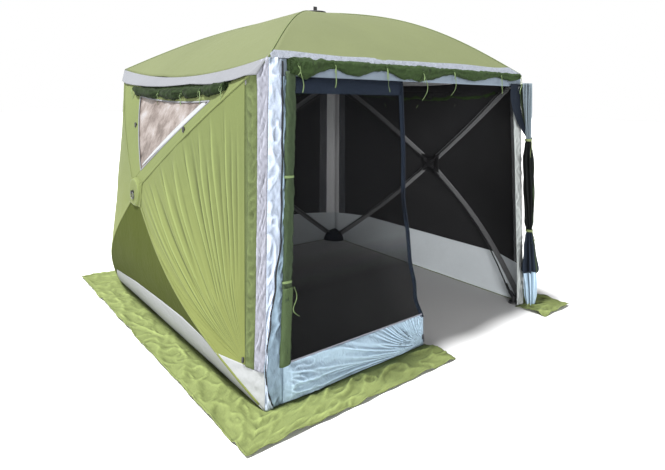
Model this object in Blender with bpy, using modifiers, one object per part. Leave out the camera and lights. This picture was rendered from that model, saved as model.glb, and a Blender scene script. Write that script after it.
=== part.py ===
"""Hub-framed screen tent: four sides, three hub walls, one zipped door wall.

Metres, +Z up. The origin is the middle of the ground square. The door wall faces -Y.
Each hub wall is a shallow four-sided pyramid of cloth over four fibreglass poles,
which pivot in a corner joint at one end and slide on a pin in the wall's hub at the other.
"""

import math

import bmesh
import bpy
from mathutils import Matrix, Vector

# Outline of the pitched tent, measured on the cloth
BASE_HALF = 1.150
EAVE_HALF = 1.005
EAVE_HEIGHT = 1.670
WALL_HUB_REACH = 1.335
WALL_HUB_HEIGHT = 0.940
ROOF_HUB_HEIGHT = 2.060
EAVE_SAG = 0.070
ROOF_BOWS = {"front_left": 0.080, "front_right": 0.115, "back_right": 0.080, "back_left": 0.050}
SKIRT_WIDTH = 0.240
WALL_TOP_BOW = 0.025
WALL_LOW_BOW = 0.090

# Folds that fan out of the left wall's front corner
FAN_CELL_COUNT = (36, 8)
FOLD_COUNT = 7.0
FOLD_DEPTH = 0.008
SECOND_FOLDS = 1.7
SECOND_DEPTH = 0.7
SECOND_PHASE = 0.6
FOLD_EDGE_POWER = 0.5
FOLD_GATHER_POWER = 0.7

# Cloth
WALL_TOP_CELL_COUNT = (8, 5)
WALL_LOW_CELL_COUNT = (6, 7)
WALL_SIDE_CELL_COUNT = (5, 7)
ROOF_CELL_COUNT = (8, 7)
STRIP_CELL_COUNT = (2, 2)
ROOF_SAG_POWER = 6
WALL_SAG_POWER = 2
SHARP_ANGLE = 35.0
CLOTH = 0.002
SEAM_GAP = 0.0004
CORNER_TRIM = 0.004
CLOTH_HOLE = 0.062
CLEAR = 0.0004
HALVING_COUNT = 24

# Poles and their end tabs
POLE_RADIUS = 0.0055
FERRULE_RADIUS = 0.0085
FERRULE_LENGTH = 0.060
FERRULE_START = 0.018
TAB_THICK = 0.006
TAB_HEIGHT = 0.020
TAB_LENGTH = 0.050
SLOT_SIDE_PLAY = 0.0022
ROOF_SLOT_SIDE_PLAY = 0.0052
SLOT_END_PLAY = 0.004
TIP_BEYOND_PIN = 0.011
BOW_POINT_COUNT = 7

# Forks that hold the tabs
PIN_RADIUS = 0.0025
PIN_PLAY = 0.0004
CHEEK_THICK = 0.004
CHEEK_HEIGHT = 0.026
CHEEK_GAP = 0.0075
CHEEK_BEYOND_PIN = 0.009
PIVOT_OUT = 0.052

# Corner joints and feet, seen from the cloth's own corner
JOINT_INSET = 0.052
JOINT_DROP = 0.064
JOINT_BALL = 0.024
FOOT_INSET = 0.052
FOOT_RISE = 0.040
FOOT_RADIUS = 0.040
FOOT_PLATE = 0.012
FOOT_TAPER = 0.85
FOOT_POST = 0.017

# Hubs, measured inwards from the point where the cloth would meet
CAP_THICK = 0.006
CAP_RADIUS = 0.076
WALL_CAP_SEAT = 0.0014
ROOF_CAP_SEAT = 0.0004
NECK_RADIUS = 0.016
CORE_THICK = 0.008
CORE_PLAY = 0.0012
CHEEK_IN_CORE = 0.004
TRAVEL_STEP_COUNT = 40
WALL_PIN_DEPTH = 0.044
WALL_PIN_REACH = 0.056
ROOF_PIN_DEPTH = 0.058
ROOF_PIN_REACH = 0.092
CORE_OVER_CHEEK = 0.010
CHEEK_INSIDE_PIN = 0.026
ROOF_TAB_REACH = 0.034
ROOF_TAB_WIDTH = 0.028
ROOF_TAB_THICK = 0.005

# Pull ring on each wall hub
LUG_WIDTH = 0.008
LUG_HEIGHT = 0.018
LUG_OVER_HOLE = 0.0034
RING_PLAY = 0.0011
RING_OFF_CAP = 0.0019
RING_RADIUS = 0.021
RING_WIRE = 0.003

# Door wall
JAMB_WIDTH = 0.105
HEADER_HEIGHT = 0.080
SILL_HEIGHT = 0.210
SILL_CELL_COUNT = (20, 5)
SILL_FOLD = 0.010
SILL_FOLD_TURN = 9.0
SILL_FOLD_SLANT = 4.0
SILL_JAMB_FADE = 0.2
SILL_FREE_FADE = 0.25
SILL_FREE_FLAT = 0.025
DOOR_EDGE_TOP = -0.155
DOOR_EDGE_BOTTOM = 0.010
STORM_ROLL_HALF_WIDTH = 0.028
STORM_ROLL_TOP = 1.530
STORM_ROLL_BOTTOM = 0.214
BUNDLE_RADIUS = 0.046
BUNDLE_TOP = 1.560
BUNDLE_BOTTOM = 0.020
BUNDLE_OFFSET = 0.025
BUNDLE_TIES = (1.130, 0.470)
BUNDLE_TIE_DEPTH = 0.42
BUNDLE_TIE_SPREAD = 0.055
BUNDLE_TAPER = 0.18
BUNDLE_FULL_HEIGHT = 0.4
BUNDLE_STEP_COUNT = 24
BUNDLE_SIDE_COUNT = 20
BUNDLE_LOBE_COUNT = 5
BUNDLE_LOBE_DEPTH = 0.16
FRONT_ROLL_REACH = (-0.88, 0.93)
FRONT_ROLL_TIE_COUNT = 7
FRONT_ROLL_RADIUS = 0.036
FRONT_ROLL_DROP = 0.042
WALL_ROLL_REACH = (-0.78, 0.78)
WALL_ROLL_TIE_COUNT = 4
WALL_ROLL_RADIUS = 0.034
WALL_ROLL_DROP = 0.080
WINDOW_ROLL_REACH = (-0.58, 0.74)
WINDOW_ROLL_TIE_COUNT = 3
WINDOW_ROLL_RADIUS = 0.030
WINDOW_ROLL_DROP = 0.096
ROLL_SIDE_COUNT = 8
ROLL_FLATNESS = 0.8
ROLL_TIGHTNESS = 0.26
ROLL_TIE_POWER = 6
ROLL_STEP_COUNT = 5
ROLL_SEAT = 0.0002
STORM_ROLL_TIE_COUNT = 3
STORM_ROLL_STEP_COUNT = 6
STORM_ROLL_FLATNESS = 0.50
STORM_ROLL_OFF_JAMB = 0.004

# Zip slider on the door's free edge
SLIDER_LENGTH = 0.030
SLIDER_WIDTH = 0.016
SLIDER_DEPTH = 0.011
SLIDER_START = 0.060
SLIDER_TRAVEL = 1.400
SLIDER_SLOT = 0.0032
SLIDER_GRIP = 0.004
PULL_LENGTH = 0.034
PULL_WIDTH = 0.007
PULL_THICK = 0.002
PULL_LIFT = 0.0007

# Skirt laid on the ground round the tent
SKIRT_DOOR_END = 0.030
SKIRT_RIGHT_END = 1.040
SKIRT_TUCK = 0.004
SKIRT_WAVE = 0.011
SKIRT_RIPPLE = (7.3, 5.1, 3.0)
SKIRT_STEP = 0.28
SKIRT_ROW_COUNT = 5
HEM_TILT_DROP = 0.6 * CLOTH
HEM_RISE = CLEAR + CLOTH + HEM_TILT_DROP + CLEAR

WALL_TURN = {"front": 0.0, "left": -90.0, "back": 180.0, "right": 90.0}
HUB_WALLS = ("left", "back", "right")
CORNERS = {
    "front_left": (-1, -1),
    "front_right": (1, -1),
    "back_right": (1, 1),
    "back_left": (-1, 1),
}
WALL_ENDS = {
    "front": ("front_left", "front_right"),
    "left": ("back_left", "front_left"),
    "back": ("back_right", "back_left"),
    "right": ("front_right", "back_right"),
}

WALL_LEAN = math.atan2(BASE_HALF - EAVE_HALF, EAVE_HEIGHT)
LUG_HOLE = RING_WIRE + RING_PLAY
# The ring hangs plumb, so the leaning cap comes out towards its lower end
LUG_HOLE_OUT = RING_WIRE + RING_OFF_CAP + 2.0 * RING_RADIUS * math.sin(WALL_LEAN)
LUG_REACH = LUG_HOLE_OUT + LUG_HOLE + LUG_OVER_HOLE
ROOF_HOLE_SHARE = CLOTH_HOLE / (EAVE_HALF * math.sqrt(2.0))
WALL_BOWS = {"top": WALL_TOP_BOW, "low": WALL_LOW_BOW}


def clear_scene():
    for obj in list(bpy.data.objects):
        bpy.data.objects.remove(obj)


def collection(name):
    made = bpy.data.collections.new(name)
    bpy.context.scene.collection.children.link(made)
    return made


def material(name, colour, roughness, metallic=0.0):
    made = bpy.data.materials.new(name)
    made.use_nodes = True
    shader = made.node_tree.nodes["Principled BSDF"]
    shader.inputs["Base Color"].default_value = (*colour, 1.0)
    shader.inputs["Roughness"].default_value = roughness
    shader.inputs["Metallic"].default_value = metallic
    made.diffuse_color = (*colour, 1.0)
    return made


def wall_matrix(side):
    """Turns the front wall's frame (x along the wall, -Y outwards, z up) to this side."""
    return Matrix.Rotation(math.radians(WALL_TURN[side]), 4, "Z")


def on_wall(side, along, out, height):
    return wall_matrix(side) @ Vector((along, -out, height))


def wall_normal(side):
    return on_wall(side, 0.0, math.cos(WALL_LEAN), math.sin(WALL_LEAN))


def out_at(height):
    """How far a wall's corner plane stands from the tent's middle at this height."""
    return BASE_HALF - (BASE_HALF - EAVE_HALF) * height / EAVE_HEIGHT


def add_object(name, data, group, mat, matrix=None):
    obj = bpy.data.objects.new(name, data)
    group.objects.link(obj)
    if matrix is not None:
        obj.matrix_world = matrix
    obj.data.materials.clear()
    obj.data.materials.append(mat)
    return obj


def mesh_from(name, bm):
    bmesh.ops.recalc_face_normals(bm, faces=bm.faces)
    mesh = bpy.data.meshes.new(name)
    bm.to_mesh(mesh)
    bm.free()
    return mesh


def box_piece(size, matrix):
    """A box of this size about the matrix's origin, as a loose helper object."""
    bm = bmesh.new()
    bmesh.ops.create_cube(bm, size=1.0)
    bmesh.ops.scale(bm, vec=size, verts=bm.verts)
    bmesh.ops.transform(bm, matrix=matrix, verts=bm.verts)
    return mesh_from("helper", bm)


def drum_piece(radius, length, matrix, segments=16, radius_top=None):
    """A cylinder or cone along the matrix's own Z, centred on its origin."""
    bm = bmesh.new()
    bmesh.ops.create_cone(
        bm,
        cap_ends=True,
        segments=segments,
        radius1=radius,
        radius2=radius if radius_top is None else radius_top,
        depth=length,
    )
    bmesh.ops.transform(bm, matrix=matrix, verts=bm.verts)
    return mesh_from("helper", bm)


def ball_piece(radius, centre):
    bm = bmesh.new()
    bmesh.ops.create_uvsphere(bm, u_segments=12, v_segments=8, radius=radius)
    bmesh.ops.translate(bm, vec=centre, verts=bm.verts)
    return mesh_from("helper", bm)


def joined(name, pieces, cuts=()):
    """One closed mesh: the Boolean union of the pieces, less the cuts."""
    helpers = [bpy.data.objects.new("helper", mesh) for mesh in (*pieces, *cuts)]
    for helper in helpers:
        bpy.context.scene.collection.objects.link(helper)
    first = helpers[0]
    for number, helper in enumerate(helpers[1:], start=1):
        step = first.modifiers.new("join", "BOOLEAN")
        step.operation = "UNION" if number < len(pieces) else "DIFFERENCE"
        step.solver = "EXACT"
        step.object = helper
    bpy.context.view_layer.update()
    graph = bpy.context.evaluated_depsgraph_get()
    mesh = bpy.data.meshes.new_from_object(first.evaluated_get(graph))
    mesh.name = name
    for helper in helpers:
        bpy.data.objects.remove(helper)
    mesh.shade_smooth()
    mesh.set_sharp_from_angle(angle=math.radians(SHARP_ANGLE))
    return mesh


def frame_of(origin, along, up):
    """A matrix at origin with X along `along` and Z as near `up` as it can be."""
    x = along.normalized()
    z = (up - x * up.dot(x)).normalized()
    y = z.cross(x)
    turn = Matrix((x, y, z)).transposed().to_4x4()
    return Matrix.Translation(origin) @ turn


# Corners of the cloth, and where each pole pivots and its hub pin lies
def edge_point(corner, level):
    """The cloth's own corner, at the eave or on the ground."""
    sx, sy = CORNERS[corner]
    half, height = (BASE_HALF, 0.0) if level == "low" else (EAVE_HALF, EAVE_HEIGHT)
    return Vector((sx * half, sy * half, height))


def ridge_ends(side):
    """(corner, level) of each ridge that runs to this wall's hub."""
    return [(corner, level) for corner in WALL_ENDS[side] for level in ("top", "low")]


def joint_centre(corner):
    sx, sy = CORNERS[corner]
    reach = EAVE_HALF - JOINT_INSET
    return Vector((sx * reach, sy * reach, EAVE_HEIGHT - JOINT_DROP))


def foot_centre(corner):
    sx, sy = CORNERS[corner]
    reach = BASE_HALF - FOOT_INSET
    return Vector((sx * reach, sy * reach, FOOT_RISE))


def hub_of(side):
    """(centre of the pin plane, outward normal, pin reach) of a hub."""
    if side == "roof":
        up = Vector((0.0, 0.0, 1.0))
        return up * (ROOF_HUB_HEIGHT - ROOF_PIN_DEPTH), up, ROOF_PIN_REACH
    normal = wall_normal(side)
    apex = on_wall(side, 0.0, WALL_HUB_REACH, WALL_HUB_HEIGHT)
    return apex - normal * WALL_PIN_DEPTH, normal, WALL_PIN_REACH


def pole_line(side, anchor):
    """The pivot and pin of the pole from this anchor point to this hub."""
    centre, normal, reach = hub_of(side)
    pivot = anchor + (centre - anchor).normalized() * PIVOT_OUT
    flat = anchor - centre
    flat -= normal * flat.dot(normal)
    pin = centre + flat.normalized() * reach
    return pivot, pin, normal


def pole_specs():
    """name -> (hub, anchor, corner, level) for the sixteen poles."""
    specs = {}
    for side in HUB_WALLS:
        for corner in WALL_ENDS[side]:
            specs[f"pole_{side}_top_{corner}"] = (side, joint_centre(corner), corner, "top")
            specs[f"pole_{side}_low_{corner}"] = (side, foot_centre(corner), corner, "low")
    for corner in CORNERS:
        specs[f"pole_roof_{corner}"] = ("roof", joint_centre(corner), corner, "roof")
    return specs


def hub_travel(side):
    """How far a hub moves along its normal, from bulged out to bulged in."""
    rises = []
    for hub, anchor, _, _ in pole_specs().values():
        if hub == side:
            pivot, pin, normal = pole_line(side, anchor)
            rises.append((pin - pivot).dot(normal))
    return 2.0 * sum(rises) / len(rises)


def pole_swing(name):
    """(pivot, hinge axis, swing in radians over the hub's whole travel) of a pole."""
    side, anchor, _, _ = pole_specs()[name]
    pivot, pin, normal = pole_line(side, anchor)
    rise = (pin - pivot).dot(normal)
    flat = (pin - pivot) - normal * rise
    start = math.atan2(rise, flat.length)
    end = math.atan2(rise - hub_travel(side), flat.length)
    axis = flat.normalized().cross(normal)
    return pivot, axis, end - start


def hub_tab_half(side):
    """(half the slot's width, half the tab's height) where a pole rides on its pin in this hub."""
    slot_half = PIN_RADIUS + (ROOF_SLOT_SIDE_PLAY if side == "roof" else SLOT_SIDE_PLAY)
    return slot_half, slot_half + TAB_HEIGHT / 2 - PIN_RADIUS - SLOT_SIDE_PLAY


def tab_rise(side):
    """How far the poles' ends stand out over this hub's pin plane, at most, through its travel."""
    highest = 0.0
    travel = hub_travel(side)
    _, half = hub_tab_half(side)
    for name, (hub, anchor, _, _) in pole_specs().items():
        if hub != side:
            continue
        pivot, pin, normal = pole_line(side, anchor)
        rise = (pin - pivot).dot(normal)
        flat = ((pin - pivot) - normal * rise).length
        _, _, swing = pole_swing(name)
        shoulder_at = (pin - pivot).length + TIP_BEYOND_PIN - TAB_HEIGHT / 2
        for step in range(TRAVEL_STEP_COUNT + 1):
            share = step / TRAVEL_STEP_COUNT
            left = rise - travel * share
            reach = math.hypot(flat, left)
            angle = math.atan2(rise, flat) + swing * share
            off = reach * math.sin(math.atan2(left, flat) - angle)
            shoulder = (shoulder_at - reach) * math.sin(angle) - off + half * math.cos(angle)
            highest = max(highest, shoulder)
    return highest


def plate_with_slot(length_from, length_to, height, slot_from, slot_to, slot_half, thick):
    """A flat tab in the XZ plane with round ends and one round-ended slot."""
    outline = bpy.data.curves.new("tab", "CURVE")
    outline.dimensions = "2D"
    outline.fill_mode = "BOTH"
    outline.extrude = thick / 2
    turns = 4

    def loop(start, end, half):
        points = []
        for centre, begin in ((end, -90.0), (start, 90.0)):
            for step in range(turns + 1):
                angle = math.radians(begin + 180.0 * step / turns)
                points.append((centre + half * math.cos(angle), half * math.sin(angle)))
        spline = outline.splines.new("POLY")
        spline.points.add(len(points) - 1)
        for point, (x, y) in zip(spline.points, points):
            point.co = (x, y, 0.0, 1.0)
        spline.use_cyclic_u = True

    loop(length_from + height / 2, length_to - height / 2, height / 2)
    loop(slot_from, slot_to, slot_half)
    helper = bpy.data.objects.new("tab", outline)
    bpy.context.scene.collection.objects.link(helper)
    bpy.context.view_layer.update()
    graph = bpy.context.evaluated_depsgraph_get()
    mesh = bpy.data.meshes.new_from_object(helper.evaluated_get(graph))
    bpy.data.objects.remove(helper)
    bm = bmesh.new()
    bm.from_mesh(mesh)
    bmesh.ops.remove_doubles(bm, verts=bm.verts, dist=1e-6)
    bmesh.ops.transform(bm, matrix=Matrix.Rotation(math.radians(90), 4, "X"), verts=bm.verts)
    return mesh_from("tab", bm)


def shaft_piece(start, end, bow):
    """The pole's own tube along X, bowed up in Z by `bow` at the middle."""
    curve = bpy.data.curves.new("shaft", "CURVE")
    curve.dimensions = "3D"
    curve.bevel_depth = POLE_RADIUS
    curve.bevel_resolution = 1
    curve.use_fill_caps = True
    spline = curve.splines.new("POLY")
    spline.points.add(BOW_POINT_COUNT - 1)
    for number, point in enumerate(spline.points):
        share = number / (BOW_POINT_COUNT - 1)
        x = start + (end - start) * share
        point.co = (x, 0.0, bow * math.sin(math.pi * share), 1.0)
    helper = bpy.data.objects.new("shaft", curve)
    bpy.context.scene.collection.objects.link(helper)
    bpy.context.view_layer.update()
    graph = bpy.context.evaluated_depsgraph_get()
    mesh = bpy.data.meshes.new_from_object(helper.evaluated_get(graph))
    bpy.data.objects.remove(helper)
    bm = bmesh.new()
    bm.from_mesh(mesh)
    bmesh.ops.remove_doubles(bm, verts=bm.verts, dist=1e-6)
    return mesh_from("shaft", bm)


def ferrule_piece(start, end, tilt):
    """The socket between a tab and the tube, tilted to meet a bowed tube."""
    middle = Matrix.Translation(((start + end) / 2, 0.0, math.tan(tilt) * abs(end - start) / 2))
    turn = Matrix.Rotation(math.radians(90) - tilt * (1 if end > start else -1), 4, "Y")
    return drum_piece(FERRULE_RADIUS, abs(end - start), middle @ turn, segments=8)


def pole_mesh(name, side, pivot, pin, normal, bow):
    """A pole along X from its pivot hole (origin) to its hub pin, with Z to the hub's normal."""
    reach = (pin - pivot).length
    rise = (pin - pivot).dot(normal)
    shortening = reach - math.sqrt(reach * reach - rise * rise)
    half = TAB_HEIGHT / 2
    pivot_tab = plate_with_slot(
        -half, TAB_LENGTH, TAB_HEIGHT, 0.0, 0.0, PIN_RADIUS + PIN_PLAY, TAB_THICK
    )
    slot_half, hub_half = hub_tab_half(side)
    slot_start = reach - shortening - SLOT_END_PLAY
    hub_tab = plate_with_slot(
        slot_start - TAB_LENGTH,
        reach + TIP_BEYOND_PIN + (hub_half - half),
        2 * hub_half,
        slot_start,
        reach + CLEAR,
        slot_half,
        TAB_THICK,
    )
    near = FERRULE_START
    far = slot_start - FERRULE_START
    tilt = math.atan2(math.pi * bow, far - near)
    return joined(
        name,
        [
            shaft_piece(near + FERRULE_LENGTH / 2, far - FERRULE_LENGTH / 2, bow),
            ferrule_piece(near, near + FERRULE_LENGTH, tilt),
            ferrule_piece(far, far - FERRULE_LENGTH, tilt),
            pivot_tab,
            hub_tab,
        ],
    )


def build_poles(group, mat):
    shared = {}
    for name, (side, anchor, corner, level) in pole_specs().items():
        pivot, pin, normal = pole_line(side, anchor)
        kind = name if level == "roof" else f"pole_{level}"
        if kind not in shared:
            bow = ROOF_BOWS[corner] if level == "roof" else WALL_BOWS[level]
            shared[kind] = pole_mesh(kind, side, pivot, pin, normal, bow)
        frame = frame_of(pivot, pin - pivot, normal)
        add_object(name, shared[kind], group, mat, frame)


def fork(origin, along, normal, near, pin_at, top=CHEEK_HEIGHT / 2):
    """Two cheeks and their pin, reaching along `along` from the origin, and up to `top` over the pin."""
    frame = frame_of(origin, along, normal)
    far = pin_at + CHEEK_BEYOND_PIN
    low = -CHEEK_HEIGHT / 2
    pieces = []
    for sign in (-1, 1):
        shift = sign * (CHEEK_GAP + CHEEK_THICK) / 2
        place = frame @ Matrix.Translation(((near + far) / 2, shift, (low + top) / 2))
        pieces.append(box_piece((far - near, CHEEK_THICK, top - low), place))
    lying = Matrix.Translation((pin_at, 0.0, 0.0)) @ Matrix.Rotation(math.radians(90), 4, "X")
    pin_length = CHEEK_GAP + 1.5 * CHEEK_THICK
    pieces.append(drum_piece(PIN_RADIUS, pin_length, frame @ lying, segments=8))
    return pieces


def poles_at(corner, levels):
    return [
        pole_line(side, anchor)
        for side, anchor, at, level in pole_specs().values()
        if at == corner and level in levels
    ]


def build_joints(group, mat):
    """The moulded joint under each roof corner, with a fork for each pole."""
    for corner in CORNERS:
        centre = joint_centre(corner)
        pieces = [ball_piece(JOINT_BALL, centre)]
        for pivot, _, normal in poles_at(corner, ("top", "roof")):
            reach = (pivot - centre).length
            pieces += fork(centre, pivot - centre, normal, JOINT_BALL / 2, reach)
        add_object(f"eave_joint_{corner}", joined("eave_joint", pieces), group, mat)


def build_feet(group, mat):
    """The moulded foot at each ground corner."""
    for corner in CORNERS:
        centre = foot_centre(corner)
        ground = Vector((centre.x, centre.y, FOOT_PLATE / 2))
        post_height = FOOT_RISE + FOOT_POST
        pieces = [
            drum_piece(FOOT_RADIUS, FOOT_PLATE, Matrix.Translation(ground), 20, FOOT_RADIUS * FOOT_TAPER),
            drum_piece(
                FOOT_POST,
                post_height - FOOT_PLATE / 2,
                Matrix.Translation((centre.x, centre.y, (post_height + FOOT_PLATE / 2) / 2)),
                14,
            ),
        ]
        for pivot, _, normal in poles_at(corner, ("low",)):
            reach = (pivot - centre).length
            pieces += fork(centre, pivot - centre, normal, 0.0, reach)
        add_object(f"foot_{corner}", joined("foot", pieces), group, mat)


def cap_under(side):
    """Depth of the cap's underside, just over the cloth round the hole under it."""
    if side == "roof":
        highest = roof_profile(ROOF_HOLE_SHARE, max(ROOF_BOWS.values()))
        return ROOF_HUB_HEIGHT - highest - CLOTH - ROOF_CAP_SEAT
    centre, normal, _ = hub_of(side)
    apex = centre + normal * WALL_PIN_DEPTH
    corners = [edge_point(corner, level) for corner, level in ridge_ends(side)]
    falls = [(apex - corner).dot(normal) / (apex - corner).length for corner in corners]
    return CLOTH_HOLE * min(falls) - CLOTH - WALL_CAP_SEAT


def hub_pieces(side, pin_depth):
    """Cap, neck, core and forks of a hub, in its own frame with Z outwards."""
    centre, normal, reach = hub_of(side)
    apex = centre + normal * pin_depth
    cap_middle = cap_under(side) - CAP_THICK / 2
    frame = frame_of(apex, Vector((0, 0, 1)).cross(normal) if side != "roof" else Vector((1, 0, 0)), normal)
    to_hub = frame.inverted()
    core_radius = reach - CHEEK_INSIDE_PIN + CORE_OVER_CHEEK
    core_bottom = pin_depth - tab_rise(side) - CORE_PLAY
    core_top = core_bottom - CORE_THICK
    cheek_top = pin_depth - core_bottom + CHEEK_IN_CORE
    pieces = [
        drum_piece(CAP_RADIUS, CAP_THICK, Matrix.Translation((0, 0, -cap_middle)), 20),
        drum_piece(
            NECK_RADIUS,
            core_bottom - cap_middle,
            Matrix.Translation((0, 0, -(core_bottom + cap_middle) / 2)),
            12,
        ),
        drum_piece(
            core_radius,
            core_bottom - core_top,
            Matrix.Translation((0, 0, -(core_bottom + core_top) / 2)),
            16,
        ),
    ]
    for hub, anchor, _, _ in pole_specs().values():
        if hub != side:
            continue
        _, pin, _ = pole_line(side, anchor)
        local = to_hub @ pin
        flat = Vector((local.x, local.y, 0.0))
        origin = Vector((0.0, 0.0, -pin_depth))
        pieces += fork(origin, flat, Vector((0, 0, 1)), reach - CHEEK_INSIDE_PIN, reach, cheek_top)
    return frame, pieces


def build_hubs(group, mat, ring_mat):
    for side in HUB_WALLS:
        frame, pieces = hub_pieces(side, WALL_PIN_DEPTH)
        cap_face = CAP_THICK - cap_under(side)
        # X of the hub's frame runs along the wall, and -Y of it points down the wall
        lug_centre = Vector((0.0, 0.0, cap_face + LUG_REACH / 2 - CAP_THICK / 2))
        pieces.append(box_piece((LUG_WIDTH, LUG_HEIGHT, LUG_REACH + CAP_THICK), Matrix.Translation(lug_centre)))
        hole_at = Vector((0.0, 0.0, cap_face + LUG_HOLE_OUT))
        across = Matrix.Translation(hole_at) @ Matrix.Rotation(math.radians(90), 4, "Y")
        cut = drum_piece(LUG_HOLE, 3 * LUG_WIDTH, across, 12)
        add_object(f"wall_hub_{side}", joined("wall_hub", pieces, [cut]), group, mat, frame)
        # The wall leans, and the ring hangs plumb from its lug
        ring = frame @ Matrix.Translation(hole_at) @ Matrix.Rotation(WALL_LEAN, 4, "X")
        add_object(f"pull_ring_{side}", ring_mesh(), group, ring_mat, ring)
    frame, pieces = hub_pieces("roof", ROOF_PIN_DEPTH)
    cap_face = CAP_THICK - cap_under("roof")
    tab_height = ROOF_TAB_REACH + CAP_THICK / 2
    tab = Matrix.Translation((0, 0, cap_face - CAP_THICK / 2 + tab_height / 2))
    pieces.append(box_piece((ROOF_TAB_WIDTH, ROOF_TAB_THICK, tab_height), tab))
    add_object("roof_hub", joined("roof_hub", pieces), group, mat, frame)


def ring_mesh():
    """The pull ring: its wire runs through the origin along X, and it hangs to -Y."""
    bpy.ops.mesh.primitive_torus_add(
        major_radius=RING_RADIUS, minor_radius=RING_WIRE, major_segments=18, minor_segments=6
    )
    made = bpy.context.object
    mesh = made.data
    bpy.data.objects.remove(made)
    mesh.transform(Matrix.Translation((0.0, -RING_RADIUS, 0.0)))
    mesh.name = "pull_ring"
    mesh.shade_smooth()
    return mesh


# Cloth
def cloth_from(name, surface, grid, outward, group, mat):
    """A sheet mapped from a grid by surface(u, v), thickened towards `outward`."""
    bm = bmesh.new()
    bmesh.ops.create_grid(bm, x_segments=grid[0], y_segments=grid[1], size=0.5)
    for vert in bm.verts:
        vert.co = surface(vert.co.x + 0.5, vert.co.y + 0.5)
    bmesh.ops.remove_doubles(bm, verts=bm.verts, dist=1e-5)
    bm.normal_update()
    facing = sum((face.normal * face.calc_area() for face in bm.faces), Vector())
    if facing.dot(outward) < 0:
        bmesh.ops.reverse_faces(bm, faces=bm.faces)
    mesh = bpy.data.meshes.new(name)
    bm.to_mesh(mesh)
    bm.free()
    mesh.shade_smooth()
    obj = add_object(name, mesh, group, mat)
    shell = obj.modifiers.new("thickness", "SOLIDIFY")
    shell.thickness = CLOTH
    shell.offset = 1.0


def hump(value):
    """0 at both ends of 0..1, 1 in the middle."""
    return 4.0 * value * (1.0 - value)


def fan_facet(top, low):
    """The left wall's front facet, gathered to its low corner (v 0) and spread along the top
    ridge (v 1, u 0 at the eave and u 1 at the hub's hole), so its folds fan out of that corner."""
    apex = Vector((0.0, -WALL_HUB_REACH, WALL_HUB_HEIGHT))
    outwards = Vector((0.0, -math.cos(WALL_LEAN), math.sin(WALL_LEAN)))
    corners = [top, low, apex]
    inset = []
    for number, corner in enumerate(corners):
        ahead = (corners[(number + 1) % 3] - corner).normalized()
        behind = (corners[number - 1] - corner).normalized()
        inset.append(corner + (ahead + behind) * SEAM_GAP / math.sin(ahead.angle(behind)))
    top, low, apex = inset
    hole_high = apex + (top - apex).normalized() * CLOTH_HOLE
    hole_low = apex + (low - apex).normalized() * CLOTH_HOLE
    bend = 1.0 - 1.0 / FAN_CELL_COUNT[0]

    def surface(u, v):
        ridge = min(1.0, u / bend)
        far = top.lerp(hole_high, ridge)
        if u > bend:
            far = hole_high.lerp(hole_low, (u - bend) / (1.0 - bend))
        turn = math.pi * FOLD_COUNT * u
        fan = math.sin(turn) + SECOND_DEPTH * math.sin(SECOND_FOLDS * turn + SECOND_PHASE)
        swell = u * WALL_LOW_BOW * math.sin(math.pi * v) + v * WALL_TOP_BOW * math.sin(math.pi * ridge)
        swell += FOLD_DEPTH * fan * hump(u) ** FOLD_EDGE_POWER * math.sin(math.pi * v**FOLD_GATHER_POWER)
        return low.lerp(far, v) + outwards * swell

    return surface


def facet_surface(start, end, bows, sag=0.0):
    """A facet of the front wall's frame, from its outer edge (v 0) to the hub's hole (v 1).

    The ridges at u 0 and u 1 bow outwards with their poles, and the outer edge may sag.
    """
    apex = Vector((0.0, -WALL_HUB_REACH, WALL_HUB_HEIGHT))
    outwards = Vector((0.0, -math.cos(WALL_LEAN), math.sin(WALL_LEAN)))
    hole_start = apex + (start - apex).normalized() * CLOTH_HOLE
    hole_end = apex + (end - apex).normalized() * CLOTH_HOLE

    def surface(u, v):
        first = start.lerp(hole_start, v)
        last = end.lerp(hole_end, v)
        across = (last - first).normalized() * SEAM_GAP
        point = (first + across).lerp(last - across, u)
        swell = (bows[0] + (bows[1] - bows[0]) * u) * math.sin(math.pi * v)
        return point + outwards * swell - Vector((0.0, 0.0, sag * hump(u) * (1.0 - v) ** WALL_SAG_POWER))

    return surface


def wall_facets(side):
    """name -> (surface in the front wall's frame, grid) of a hub wall's four facets."""
    apex = Vector((0.0, -WALL_HUB_REACH, WALL_HUB_HEIGHT))
    tops = [Vector((sign * EAVE_HALF, -EAVE_HALF, EAVE_HEIGHT)) for sign in (-1, 1)]
    lows = [Vector((sign * BASE_HALF, -BASE_HALF, 0.0)) for sign in (-1, 1)]
    trimmed = [top + (apex - top).normalized() * CORNER_TRIM for top in tops]
    hemmed = [low.lerp(top, HEM_RISE / EAVE_HEIGHT) for low, top in zip(lows, tops)]
    shortened = [top.lerp(low, CORNER_TRIM / EAVE_HEIGHT) for low, top in zip(lows, tops)]
    inset = [Vector((SEAM_GAP, 0.0, 0.0)), Vector((-SEAM_GAP, 0.0, 0.0))]
    high, deep = WALL_TOP_BOW, WALL_LOW_BOW
    facets = {
        "top": (facet_surface(trimmed[0], trimmed[1], (high, high), EAVE_SAG), WALL_TOP_CELL_COUNT),
        "low": (facet_surface(hemmed[1], hemmed[0], (deep, deep)), WALL_LOW_CELL_COUNT),
        "side_a": (facet_surface(hemmed[0] + inset[0], shortened[0] + inset[0], (deep, high)), WALL_SIDE_CELL_COUNT),
        "side_b": (facet_surface(shortened[1] + inset[1], hemmed[1] + inset[1], (high, deep)), WALL_SIDE_CELL_COUNT),
    }
    if side == "left":
        facets["side_b"] = (fan_facet(shortened[1] + inset[1], hemmed[1] + inset[1]), FAN_CELL_COUNT)
    return facets


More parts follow.
